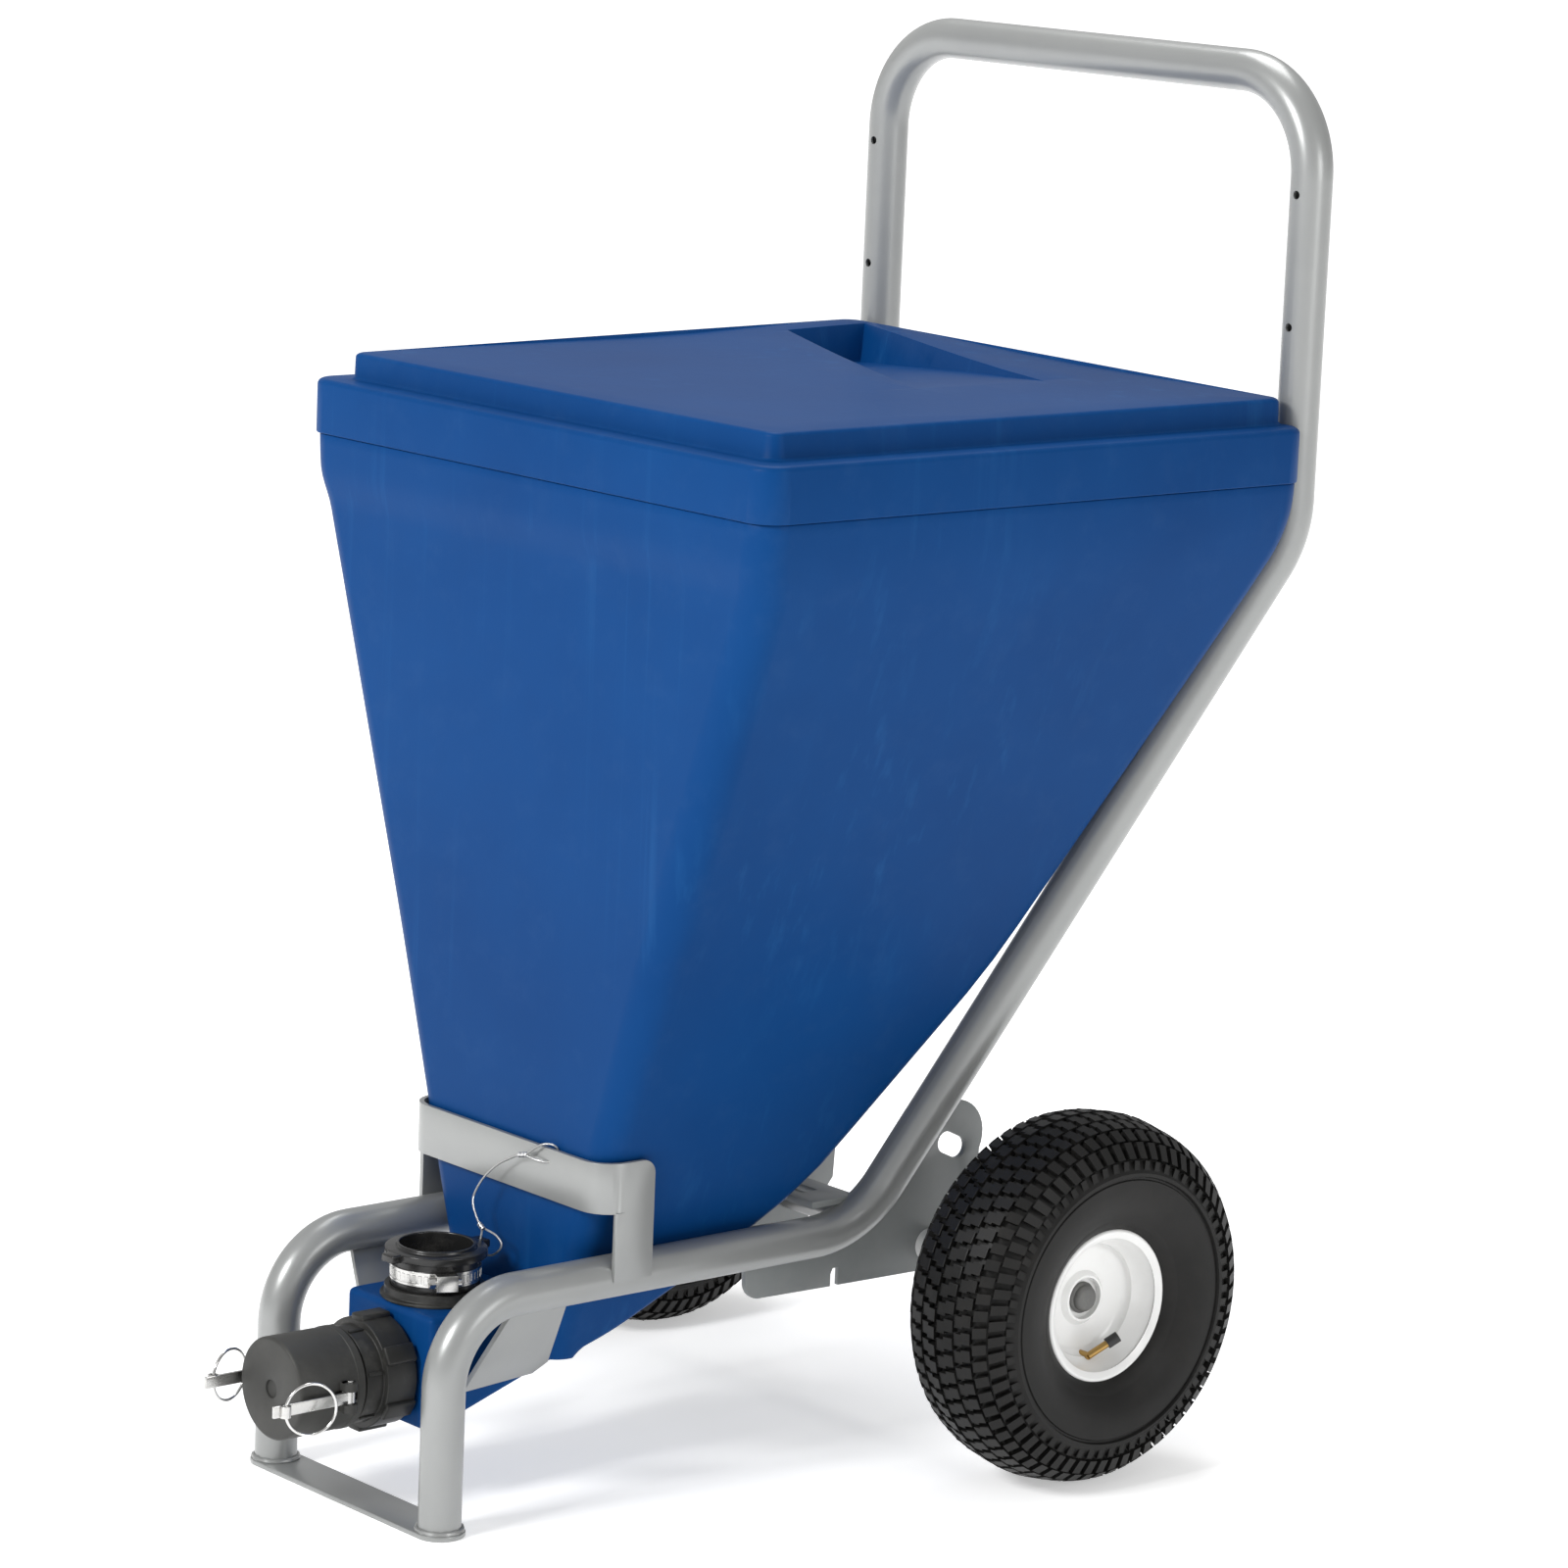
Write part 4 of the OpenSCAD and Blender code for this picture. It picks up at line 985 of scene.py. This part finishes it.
# Each row: middle across the tread, outline, whether it is half a pitch behind, and its
# height as a share of the tread's depth.
TREAD_ROWS = [
    (8.6, stepped(PITCH * 0.86, 15.0, 2.4), False, 0.93),
    (24.4, stepped(PITCH * 0.82, 13.0, 1.8), True, 0.93),
    (37.6, lug(PITCH * 0.60, 9.6, 0.7), False, 0.93),
    (50.0, lug(PITCH * 0.58, 12.0, 0.9), True, 0.93),
    (62.0, lug(PITCH * 0.52, 9.0, -0.5), False, 0.75),
]


def tread_pitch():
    """One pitch of the tread: a block of every row on both sides of the middle."""
    bm = bmesh.new()
    for across, outline, behind, share in TREAD_ROWS:
        for side in (1, -1):
            flipped = [(u, side * v) for u, v in outline]
            shift = PITCH / 2 if behind == (side > 0) else 0
            block = block_flat([(u + shift, v) for u, v in flipped], side * across)
            rims_of_top = [e for e in block.edges if all(v.co.z > 0.5 for v in e.verts)]
            wrap_onto_crown(block, TREAD_DEPTH * share)
            bmesh.ops.bevel(block, geom=rims_of_top, offset=0.45, offset_type="OFFSET",
                            affect="EDGES", segments=1, profile=0.5, material=-1,
                            clamp_overlap=True)
            join_in(bm, block)
    return bm


def tyre(side):
    bm = turned_shape(carcass_outline, steps=128)
    blocks = tread_pitch()
    bmesh.ops.spin(blocks, geom=blocks.verts[:] + blocks.edges[:] + blocks.faces[:],
                   cent=(0, 0, 0), axis=(1, 0, 0), angle=2 * math.pi, steps=PITCHES,
                   use_duplicate=True, use_merge=False)
    bmesh.ops.remove_doubles(blocks, verts=blocks.verts, dist=0.005)
    bmesh.ops.recalc_face_normals(blocks, faces=blocks.faces)
    join_in(bm, blocks)
    if side < 0:
        turn(bm, 180, "Z")
    move(bm, side * WHEEL_X, AXLE_Y, AXLE_Z)
    return bm


for side, word in ((-1, "left"), (1, "right")):
    add_piece(f"turf_tyre_{word}", tyre(side), tyre_rubber, f"wheel_{word}",
              [f"tyre_{word}"], sharp=math.radians(28))

# %% [markdown]
# ## Rims, hubs and axle
# A rim is one pressed steel shape on each side: a rolled edge, a step down to the well, a
# sloping face and a flat disc with the hub tube welded through it. It is drawn as one outline
# with arcs at every bend. The hub tube's end is rounded, and a weld bead sits round it.

# %% Rims
DISC_HALF = 6.5
HUB_R = 17
HUB_BORE = 8.6
HUB_LOW, HUB_HIGH = node_box("hub_right")
HUB_OUT = HUB_HIGH.x - WHEEL_X
HUB_IN = HUB_LOW.x - WHEEL_X


def rim_outline():
    """Half a rim's face, from the rolled edge in to the disc."""
    edge = RIM_HALF_W
    outside = arc((RIM_R - 2.2, edge - 2.2), 2.2, -30, 120, 6)
    outside += arc((RIM_R - 8.5, edge - 4.4), 2.4, 60, 20, 3)
    outside += [(RIM_R - 7.6, edge - 6.5)]
    outside += [(RIM_R - 10.0, edge - 12), (RIM_R - 12.8, edge - 16.5)]
    outside += arc((RIM_R - 22, DISC_HALF + 9), 7.0, 10, -80, 6)
    outside += [(HUB_R + 4, DISC_HALF + 1.3), (HUB_R + 2.2, DISC_HALF + 3.2),
                (HUB_R + 0.6, DISC_HALF + 5.0), (HUB_R - 1, DISC_HALF + 5.2)]
    return outside


def rim(side):
    face = rim_outline()
    far = [(r, -x) for r, x in reversed(face)]
    well = [(RIM_R - 4, -(RIM_HALF_W - 4)), (RIM_R - 5, -(RIM_HALF_W - 9)),
            (RIM_R - 9, -14), (RIM_R - 9, 14),
            (RIM_R - 5, RIM_HALF_W - 9), (RIM_R - 4, RIM_HALF_W - 4)]
    bm = turned_shape(face + far + well, steps=96)
    move(bm, side * WHEEL_X, AXLE_Y, AXLE_Z)
    return bm


def hub(side):
    low, high = sorted((HUB_IN, HUB_OUT))
    outline = [(HUB_BORE, low), (HUB_R - 1, low), (HUB_R, low + 1), (HUB_R, high - 1)]
    outline += [(HUB_R - 1, high), (HUB_BORE + 0.8, high), (HUB_BORE, high - 0.8)]
    bm = turned_shape(outline, steps=64)
    if side < 0:
        turn(bm, 180, "Z")
    move(bm, side * WHEEL_X, AXLE_Y, AXLE_Z)
    return bm


for side, word in ((-1, "left"), (1, "right")):
    add_piece(f"pressed_rim_{word}", rim(side), rim_enamel, f"wheel_{word}",
              [f"rim_{word}"])
    add_piece(f"hub_tube_{word}", hub(side), rim_enamel, f"wheel_{word}",
              [f"hub_{word}"])

# %% Axle ends
CAP_LOW, CAP_HIGH = node_box("axle_cap_right")
CAP_R = (CAP_HIGH.z - CAP_LOW.z) / 2


def axle_cap(side):
    """A pressed push-on cap with a domed end and a narrow rolled brim."""
    base, top = CAP_LOW.x, CAP_HIGH.x
    outline = [(0, base), (CAP_R - 0.5, base), (CAP_R, base + 0.5), (CAP_R, base + 1.6),
               (CAP_R - 0.8, base + 2.4), (CAP_R - 1.9, base + 3.0)]
    outline += arc((CAP_R - 5.4, top - 3.5), 3.5, 0, 90, 5)
    outline += [(0, top - 0.4)]
    bm = turned_shape(outline, steps=48, closed=False)
    if side < 0:
        turn(bm, 180, "Z")
    move(bm, 0, AXLE_Y, AXLE_Z)
    return bm


for side, word in ((-1, "left"), (1, "right")):
    add_piece(f"push_cap_{word}", axle_cap(side), cap_zinc, "frame",
              [f"axle_cap_{word}"])

# %% [markdown]
# ## The frame
# The tubes, the axle and a few more pieces already have their true shape in the CAD frame, so
# they keep it and only get a better material in the same slot. The flat plates get rounded
# edges: each one is copied from its CAD node, cleaned, bevelled and put back in its place.

# %% Carried-over pieces get their finishes
def dress(node, material):
    """Puts a material in every slot of a CAD node."""
    for place in bpy.data.objects[node].material_slots:
        place.material = material


SIDES = ("left", "right")
tubes = [f"{name}_{side}" for name in ("lower_tube", "diagonal_tube", "post_bend")
         for side in SIDES]
for name in tubes + ["handle_tube"]:
    dress(name, frame_paint)
dress("axle", axle_steel)
dress("axle_spacers", rim_enamel)
for side in SIDES:
    dress(f"inner_tube_{side}", tube_rubber)
    dress(f"valve_stem_{side}", valve_brass)
    dress(f"valve_cap_{side}", cap_black)


# %% Plates with softened edges
def softened(node, material, body, width, segments=2, angle=12, round_off=None):
    """A copy of a CAD node with every sharp edge rounded, standing for that node.

    round_off is a test for edges that get a large radius first, and that radius.
    """
    source = bpy.data.objects[node]
    bm = bmesh.new()
    bm.from_mesh(source.data)
    bmesh.ops.transform(bm, matrix=source.matrix_world, verts=bm.verts)
    bmesh.ops.scale(bm, vec=(1 / MM, 1 / MM, 1 / MM), verts=bm.verts)
    bmesh.ops.remove_doubles(bm, verts=bm.verts, dist=0.02)
    bmesh.ops.dissolve_limit(bm, angle_limit=math.radians(1), verts=bm.verts,
                             edges=bm.edges)
    bmesh.ops.recalc_face_normals(bm, faces=bm.faces)
    if round_off:
        picked = [e for e in bm.edges if round_off[0](e)]
        bmesh.ops.bevel(bm, geom=picked, offset=round_off[1], offset_type="OFFSET",
                        affect="EDGES", segments=8, profile=0.5, material=-1)
    bevel_sharp(bm, width, segments, angle)
    bmesh.ops.triangulate(bm, faces=[f for f in bm.faces if len(f.verts) > 4])
    return add_piece(f"{node}_finished", bm, material, body, [node])


softened("skid_plate", frame_paint, "frame", 1.0)
# The cross plate gets the darker paint, as painted shade for the shadow under the hopper.
softened("cross_plate", gusset_paint, "frame", 0.8)
STRAP_HIGH = node_box("hopper_strap")[1]


def is_leg_corner(edge):
    """The short edge through the strap at the top of a leg's back."""
    return all(abs(v.co.y - STRAP_HIGH.y) < 0.1 and abs(v.co.z - STRAP_HIGH.z) < 0.1
               for v in edge.verts)


softened("hopper_strap", frame_paint, "frame", 0.9, angle=25,
         round_off=(is_leg_corner, 11))
for side in SIDES:
    softened(f"cradle_plate_{side}", frame_paint, "frame", 0.8)

# %% [markdown]
# The rear plates are drawn afresh, because their ears and slots need true curves. A plate is
# an outline in the YZ plane, filled with triangles round its holes, given its thickness, and
# rounded along its rims only.

# %% Rear plates
def plate(loops, x, thickness, edge):
    """A flat plate across X from its outline and holes, each a list of (y, z) points."""
    bm = bmesh.new()
    edges = []
    for points in loops:
        verts = [bm.verts.new((x, y, z)) for y, z in points]
        edges += [bm.edges.new(pair) for pair in zip(verts, verts[1:] + verts[:1])]
    faces = [g for g in bmesh.ops.triangle_fill(bm, use_beauty=True, edges=edges)["geom"]
             if isinstance(g, bmesh.types.BMFace)]
    raised = bmesh.ops.extrude_face_region(bm, geom=faces, use_keep_orig=True)["geom"]
    moved = [v for v in raised if isinstance(v, bmesh.types.BMVert)]
    bmesh.ops.translate(bm, vec=(thickness, 0, 0), verts=moved)
    bmesh.ops.recalc_face_normals(bm, faces=bm.faces)
    bmesh.ops.dissolve_limit(bm, angle_limit=math.radians(0.5), verts=bm.verts, edges=bm.edges)
    rims = [e for e in bm.edges if len(e.link_faces) == 2
            and e.calc_face_angle(0) > math.radians(60)
            and abs(e.verts[0].co.x - e.verts[1].co.x) < 0.01]
    bmesh.ops.bevel(bm, geom=rims, offset=edge, offset_type="OFFSET", affect="EDGES",
                    segments=2, profile=0.5, material=-1, clamp_overlap=True)
    bmesh.ops.triangulate(bm, faces=[f for f in bm.faces if len(f.verts) > 4])
    return bm


def stadium(centre, half_length, radius, tilt):
    """A slot's outline: two half circles joined by straight lines, tilted in degrees."""
    points = arc((half_length, 0), radius, -90, 90, 10) + arc((-half_length, 0), radius, 90, 270, 10)
    lean = Matrix.Rotation(math.radians(tilt), 2)
    return [tuple(Vector(centre) + lean @ Vector(p)) for p in points]


RAIL_Z = node_box("lower_tube_right")[1].z - 15.9
ear = arc((AXLE_Y + 24, 223), 29, -25, 118, 14)
toe = arc((AXLE_Y - 169, 138), 14.5, 175, 262, 6)
notch_y = AXLE_Y - 98
notch = [(notch_y, 122), (notch_y, 132), (notch_y + 2, 136), (notch_y + 8, 136), (notch_y + 8, 122)]
gusset_outline = [(AXLE_Y - 186, RAIL_Z)] + toe + notch
gusset_outline += [(AXLE_Y + 22, 120), (AXLE_Y + 47, 150)] + ear
gusset_outline += [(AXLE_Y - 6, 236), (AXLE_Y - 62, 192), (AXLE_Y - 94, RAIL_Z)]
lifting_slot = stadium((AXLE_Y + 21, 217), 6.5, 8.5, -25)
# The rear plates get the darker paint, as painted shade for the shadow on the rails' inner sides.
for side in SIDES:
    low, high = node_box(f"rear_gusset_{side}")
    bm = plate([gusset_outline, lifting_slot], low.x, high.x - low.x, 0.8)
    add_piece(f"rear_plate_{side}", bm, gusset_paint, "frame",
              [f"rear_gusset_{side}"])

# %% [markdown]
# A bead of weld runs where each rear plate meets its rail and round each foot. Each bead is a
# thin swept tube whose radius rises and falls with the ripples of a hand-run weld.

# %% Weld beads
def bead(points, radius=2.2, ripple=0.35):
    return swept(points, lambda i: radius + ripple * math.sin(i * 1.9), 8)


TUBE_R = 15.9
RAIL_X = 101
WELD_LENGTH = 84
WELD_STEPS = 26
welds = bmesh.new()
for sign in (-1, 1):
    inner_x = sign * (RAIL_X - 13.6)
    join_in(welds, bead([(inner_x, AXLE_Y - 178 + WELD_LENGTH * k / WELD_STEPS, RAIL_Z - 8.6)
                         for k in range(WELD_STEPS + 1)]))
    foot = [(sign * (RAIL_X + (TUBE_R + 0.6) * math.cos(a)),
             AXLE_Y - 478 + (TUBE_R + 0.6) * math.sin(a), 5.0)
            for a in (math.radians(k * 9) for k in range(40))]
    join_in(welds, swept(foot, lambda i: 2.0 + 0.25 * math.sin(i * 1.7), 8, loop=True))
weld_beads = add_piece("weld_beads", welds, frame_paint, "frame")

# %% [markdown]
# ## The front port
# The adapter is a lobed nut with a collar and a grooved boss, all turned about the port's own
# axis. Shapes are made along X like the wheels and then swung round to point forwards. The
# dust cap has a dimple in its face, a ring round its mouth and a window for each cam lever.

# %% Turned along the port
CAP_OPEN_Y = AXLE_Y - 499
CAP_FACE_Y = AXLE_Y - 557
CAP_RADIUS = 38
BOSS_R = 31.5
BOSS_END_Y = AXLE_Y - 547
GROOVE_Y = AXLE_Y - 517
NUT_Y = BOX_LOW.y - 3
NUT_T = 26
NUT_R = 41
BORE_R = 25
FITTING_STEPS = 96


def along_port(outline, steps=FITTING_STEPS):
    """Turns an outline of (radius, y) about the port's axis."""
    bm = turned_shape([(radius, -y) for radius, y in outline], steps)
    turn(bm, -90, "Z")
    move(bm, 0, 0, PORT_Z)
    return bm


def eased(outline, edge, steps=3):
    """Rounds every corner of a closed outline of (radius, along) points."""
    count = len(outline)
    rounded = []
    for i, here in enumerate(outline):
        here = Vector(here)
        before = Vector(outline[i - 1]) - here
        after = Vector(outline[(i + 1) % count]) - here
        cut = min(edge, before.length * 0.4, after.length * 0.4)
        start = here + before.normalized() * cut
        end = here + after.normalized() * cut
        for k in range(steps + 1):
            t = k / steps
            rounded.append(tuple((1 - t) ** 2 * start + 2 * t * (1 - t) * here + t * t * end))
    return rounded


washer = along_port(eased([(BOSS_R, BOX_LOW.y), (37, BOX_LOW.y), (37, NUT_Y), (BOSS_R, NUT_Y)],
                          0.5))
add_piece("outlet_seal", washer, seal_rubber, "frame", ["outlet_washer"])

nut_end = NUT_Y - NUT_T
adapter_outline = [(BORE_R, BOX_LOW.y + 16), (28.4, BOX_LOW.y + 16), (28.4, BOX_LOW.y + 5),
                   (BOSS_R, NUT_Y), (NUT_R, NUT_Y), (NUT_R, nut_end), (36, nut_end),
                   (36, nut_end - 15), (BOSS_R, nut_end - 15), (BOSS_R, GROOVE_Y + 8),
                   (28, GROOVE_Y + 5), (28, GROOVE_Y - 5), (BOSS_R, GROOVE_Y - 8),
                   (BOSS_R, BOSS_END_Y), (BORE_R, BOSS_END_Y)]
adapter = along_port(eased(adapter_outline, 1.2))
LUG_ANGLES = range(30, 360, 60)
for angle in LUG_ANGLES:
    lobe = rounded_box((6, NUT_T, 14), (NUT_R, NUT_Y - NUT_T / 2, 0), 1.6)
    turn(lobe, angle, "Y")
    move(lobe, 0, 0, PORT_Z)
    join_in(adapter, lobe)
    rib = rounded_box((2.2, 13, 3), (36.4, nut_end - 7.5, 0), 0.8, 2)
    turn(rib, angle + 15, "Y")
    move(rib, 0, 0, PORT_Z)
    join_in(adapter, rib)
add_piece("outlet_fitting", adapter, fitting_plastic, "frame",
          ["outlet_adapter"])

# %% Dust cap
LEVER_Y = GROOVE_Y
LEVER_Z = PORT_Z - 2
LEVER_H = 9
LEVER_X = 41.5
LUG_H = 6
cap_outline = [(0, CAP_FACE_Y + 3.0), (5.0, CAP_FACE_Y + 2.9), (6.4, CAP_FACE_Y + 2.0)]
cap_outline += [(6.8, CAP_FACE_Y + 0.4), (7.4, CAP_FACE_Y), (CAP_RADIUS - 2.6, CAP_FACE_Y)]
cap_outline += [(radius, y) for radius, y in arc((CAP_RADIUS - 2.6, CAP_FACE_Y + 2.6), 2.6,
                                                 -90, 0, 5)]
mouth = CAP_OPEN_Y
cap_outline += [(CAP_RADIUS - 0.5, mouth - 7.6), (CAP_RADIUS - 0.5, mouth - 7.2),
                (CAP_RADIUS, mouth - 6.6), (CAP_RADIUS, mouth - 1.4),
                (CAP_RADIUS - 1.2, mouth), (BOSS_R + 1.6, mouth), (BOSS_R + 0.6, mouth - 1)]
cap_outline += [(BOSS_R + 0.6, CAP_FACE_Y + 7), (BOSS_R - 0.4, CAP_FACE_Y + 6),
                (0, CAP_FACE_Y + 6)]
cap = turned_shape([(radius, -y) for radius, y in cap_outline], FITTING_STEPS, closed=False)
turn(cap, -90, "Z")
move(cap, 0, 0, PORT_Z)
for sign in (-1, 1):
    window = rounded_box((30, 20, LEVER_H + 1), (sign * 35, LEVER_Y, LEVER_Z), 0.6, 1)
    cap = combine(cap, window, "DIFFERENCE")
    for end in (-1, 1):
        z = LEVER_Z + end * (LEVER_H / 2 + 0.5 + LUG_H / 2)
        lug_bm = rod((sign * LEVER_X, LEVER_Y, z - LUG_H / 2),
                     (sign * LEVER_X, LEVER_Y, z + LUG_H / 2), 6, 32)
        arm = rounded_box((12, 12, LUG_H), (sign * (LEVER_X - 6), LEVER_Y, z), 0.4, 1)
        join_in(cap, lug_bm)
        join_in(cap, arm)
add_piece("port_cap", cap, cap_plastic, "dust_cap", ["dust_cap"])
dress("cap_gasket", seal_rubber)
dress("lever_pins", stainless)

# %% Cam levers
EYE_Y = AXLE_Y - 585 + 9
EYE_X = LEVER_X + 3.5
LEVER_T = 2.5


def cam_lever(sign):
    """A strip of steel: a cam round the pin, a flat arm and a rolled eye near the tip."""
    bm = rod((LEVER_X - 3.2, LEVER_Y, LEVER_Z - LEVER_H / 2),
             (LEVER_X - 3.2, LEVER_Y, LEVER_Z + LEVER_H / 2), 6, 32)
    tip = AXLE_Y - 585
    arm_length = LEVER_Y - tip
    arm = rounded_box((LEVER_T, arm_length, LEVER_H),
                      (LEVER_X + 0.75, tip + arm_length / 2, LEVER_Z), 0.6, 2)
    join_in(bm, arm)
    eye = bmesh.new()
    roll = [(4, LEVER_H / 2), (4, -LEVER_H / 2), (2, -LEVER_H / 2), (2, LEVER_H / 2)]
    join_in(eye, turned_shape(eased(roll, 0.5), 24))
    turn(eye, 90, "Y")
    move(eye, EYE_X, EYE_Y, LEVER_Z)
    join_in(bm, eye)
    if sign < 0:
        bmesh.ops.scale(bm, vec=(-1, 1, 1), verts=bm.verts)
        bmesh.ops.reverse_faces(bm, faces=bm.faces)
    return bm


for sign, side in ((-1, "left"), (1, "right")):
    add_piece(f"lever_{side}", cam_lever(sign), stainless, f"lever_{side}",
              [f"cam_lever_{side}"])
    dress(f"pull_ring_{side}", bright_steel)

# %% [markdown]
# ## The top port
# A stepped nut holds a rubber sleeve on top of the outlet box. The sleeve's flange has two
# ears, and a slotted worm-drive band grips it. The slots are short raised ribs of the band's
# steel with dark gaps between them, as the rolled thread of such a band looks from outside.

# %% Nut and sleeve
TOP_Z = BOX_HIGH.z
NUT_HIGH_R = 40.5
SLEEVE_R = 33
FLANGE_Z = 171
FLANGE_R = 38
LIP_R = 30
LIP_Z = 184
SLEEVE_BORE = 27


def upright(outline, steps=FITTING_STEPS):
    """Turns an outline of (radius, z) about the top port's axis."""
    bm = turned_shape(outline, steps)
    turn(bm, -90, "Y")
    move(bm, 0, PORT_Y, 0)
    return bm


nut = upright(eased([(SLEEVE_R, TOP_Z), (NUT_HIGH_R, TOP_Z), (NUT_HIGH_R, TOP_Z + 2.4),
                     (NUT_HIGH_R - 3, TOP_Z + 3), (NUT_HIGH_R - 3, TOP_Z + 9),
                     (SLEEVE_R, TOP_Z + 9)], 0.8))
add_piece("top_nut", nut, fitting_plastic, "frame", ["port_nut"])

FLANGE_FOOT_Z = FLANGE_Z + 3.5
FLANGE_TOP_Z = LIP_Z - 3
sleeve_outline = [(SLEEVE_BORE, TOP_Z), (SLEEVE_R, TOP_Z), (SLEEVE_R, FLANGE_FOOT_Z),
                  (FLANGE_R, FLANGE_FOOT_Z + 0.6), (FLANGE_R, FLANGE_TOP_Z),
                  (LIP_R, FLANGE_TOP_Z + 0.3), (LIP_R - 0.6, LIP_Z), (SLEEVE_BORE, LIP_Z)]
sleeve = upright(eased(sleeve_outline, 0.9))
EAR_W = 14
EAR_REACH = 45
for end in (-1, 1):
    ear_bm = rounded_box((EAR_W, EAR_REACH - 32, FLANGE_TOP_Z - FLANGE_FOOT_Z - 0.4),
                         (0, PORT_Y + end * (EAR_REACH + 32) / 2,
                          (FLANGE_TOP_Z + FLANGE_FOOT_Z) / 2), 1.2, 3)
    sleeve = combine(sleeve, ear_bm, "UNION")
ear_hole = rod((0, PORT_Y + 40.5, FLANGE_Z - 1), (0, PORT_Y + 40.5, LIP_Z), 2, 24)
sleeve = combine(sleeve, ear_hole, "DIFFERENCE")
add_piece("rubber_sleeve", sleeve, sleeve_rubber, "frame", ["port_sleeve"])

# %% Clamp
BAND_Z = 158
BAND_H = 11
band = upright(eased([(SLEEVE_R, BAND_Z), (SLEEVE_R + 0.5, BAND_Z), (SLEEVE_R + 0.5, BAND_Z + BAND_H),
                      (SLEEVE_R, BAND_Z + BAND_H)], 0.2))
RIBS = 44
for k in range(RIBS):
    angle = 360 * k / RIBS
    rib = rounded_box((0.7, 3.0, 6.0), (SLEEVE_R + 0.45, 0, BAND_Z + BAND_H / 2), 0.25, 1)
    turn(rib, angle, "Z")
    move(rib, 0, PORT_Y)
    join_in(band, rib)
for edge_z in (BAND_Z + 0.9, BAND_Z + BAND_H - 0.9):
    hoop = upright([(SLEEVE_R + 0.2, edge_z - 0.9), (SLEEVE_R + 0.8, edge_z - 0.7),
                    (SLEEVE_R + 0.8, edge_z + 0.7), (SLEEVE_R + 0.2, edge_z + 0.9)])
    join_in(band, hoop)
add_piece("worm_drive_band", band, stainless, "frame", ["clamp_band"])
softened("clamp_housing", stainless, "frame", 0.5, angle=40)
dress("clamp_screw", stainless)

# %% [markdown]
# ## Floor, light and world
# The cart stands on a very large pale floor that glows a little more with distance, so it
# melts into the white behind it and there is no horizon. The camera sees a white world, but
# the cart is lit by a dimmer one, so that the lamps can model its shape. A large soft key
# light stands to the camera's left and above, and weaker ones light the side and the lid.

# %% Floor
FLOOR_SIZE = 80
floor_bm = bmesh.new()
bmesh.ops.create_grid(floor_bm, x_segments=2, y_segments=2, size=FLOOR_SIZE / 2)
floor_mesh = bpy.data.meshes.new("floor")
floor_bm.to_mesh(floor_mesh)
floor_bm.free()
floor = bpy.data.objects.new("floor", floor_mesh)
bpy.context.scene.collection.objects.link(floor)
floor_finish = bpy.data.materials.new("floor_finish")
floor_finish.use_nodes = True
tree = floor_finish.node_tree
floor_shader = tree.nodes["Principled BSDF"]
floor_shader.inputs["Roughness"].default_value = 0.9
floor_shader.inputs["Specular IOR Level"].default_value = 0.0
floor_shader.inputs["Emission Color"].default_value = (1, 1, 1, 1)
place = node(tree, "TexCoord").outputs["Object"]
from_middle = node(tree, "VectorMath", {0: place}, operation="LENGTH").outputs["Value"]
texture = node(tree, "TexNoise", {"Vector": place, "Scale": 1.2}).outputs["Fac"]
pale = node(tree, "Mix", {"Factor": texture, 6: (0.90, 0.90, 0.90, 1),
                          7: (0.94, 0.94, 0.94, 1)}, data_type="RGBA")
tree.links.new(pale.outputs[2], floor_shader.inputs["Base Color"])
tree.links.new(ramp(tree, from_middle, 0.5, 2.6, 0.42, 0.75),
               floor_shader.inputs["Emission Strength"])
floor_mesh.materials.append(floor_finish)
floor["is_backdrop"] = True

# %% World and lights
world = bpy.data.worlds.new("studio")
bpy.context.scene.world = world
world.use_nodes = True
sky = world.node_tree
seen = sky.nodes["Background"]
seen.inputs["Color"].default_value = (1, 1, 1, 1)
seen.inputs["Strength"].default_value = 1.05
lighting = node(sky, "Background", {"Color": (1, 1, 1, 1), "Strength": 0.5})
choice = node(sky, "MixShader", {"Fac": node(sky, "LightPath").outputs["Is Camera Ray"]})
sky.links.new(lighting.outputs[0], choice.inputs[1])
sky.links.new(seen.outputs[0], choice.inputs[2])
sky.links.new(choice.outputs[0], sky.nodes["World Output"].inputs["Surface"])
bpy.context.scene.view_settings.view_transform = "Standard"

AIM = Vector((0, 0.05, 0.5))


def soft_light(name, place, size, power):
    """A square area light aimed at the middle of the cart."""
    lamp = bpy.data.lights.new(name, "AREA")
    lamp.size = size
    lamp.energy = power
    made = bpy.data.objects.new(name, lamp)
    made.location = place
    made.rotation_mode = "QUATERNION"
    made.rotation_quaternion = (AIM - Vector(place)).to_track_quat("-Z", "Y")
    bpy.context.scene.collection.objects.link(made)
    made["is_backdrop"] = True


soft_light("key", (0.1, -3.2, 2.4), 0.9, 95)
soft_light("fill", (3.4, 0.4, 1.4), 1.2, 20)
soft_light("top", (-0.6, 0.7, 3.2), 1.6, 45)

# %% Sizes
low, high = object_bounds()
print("visual box", [round(v, 4) for v in (*low, *high)])
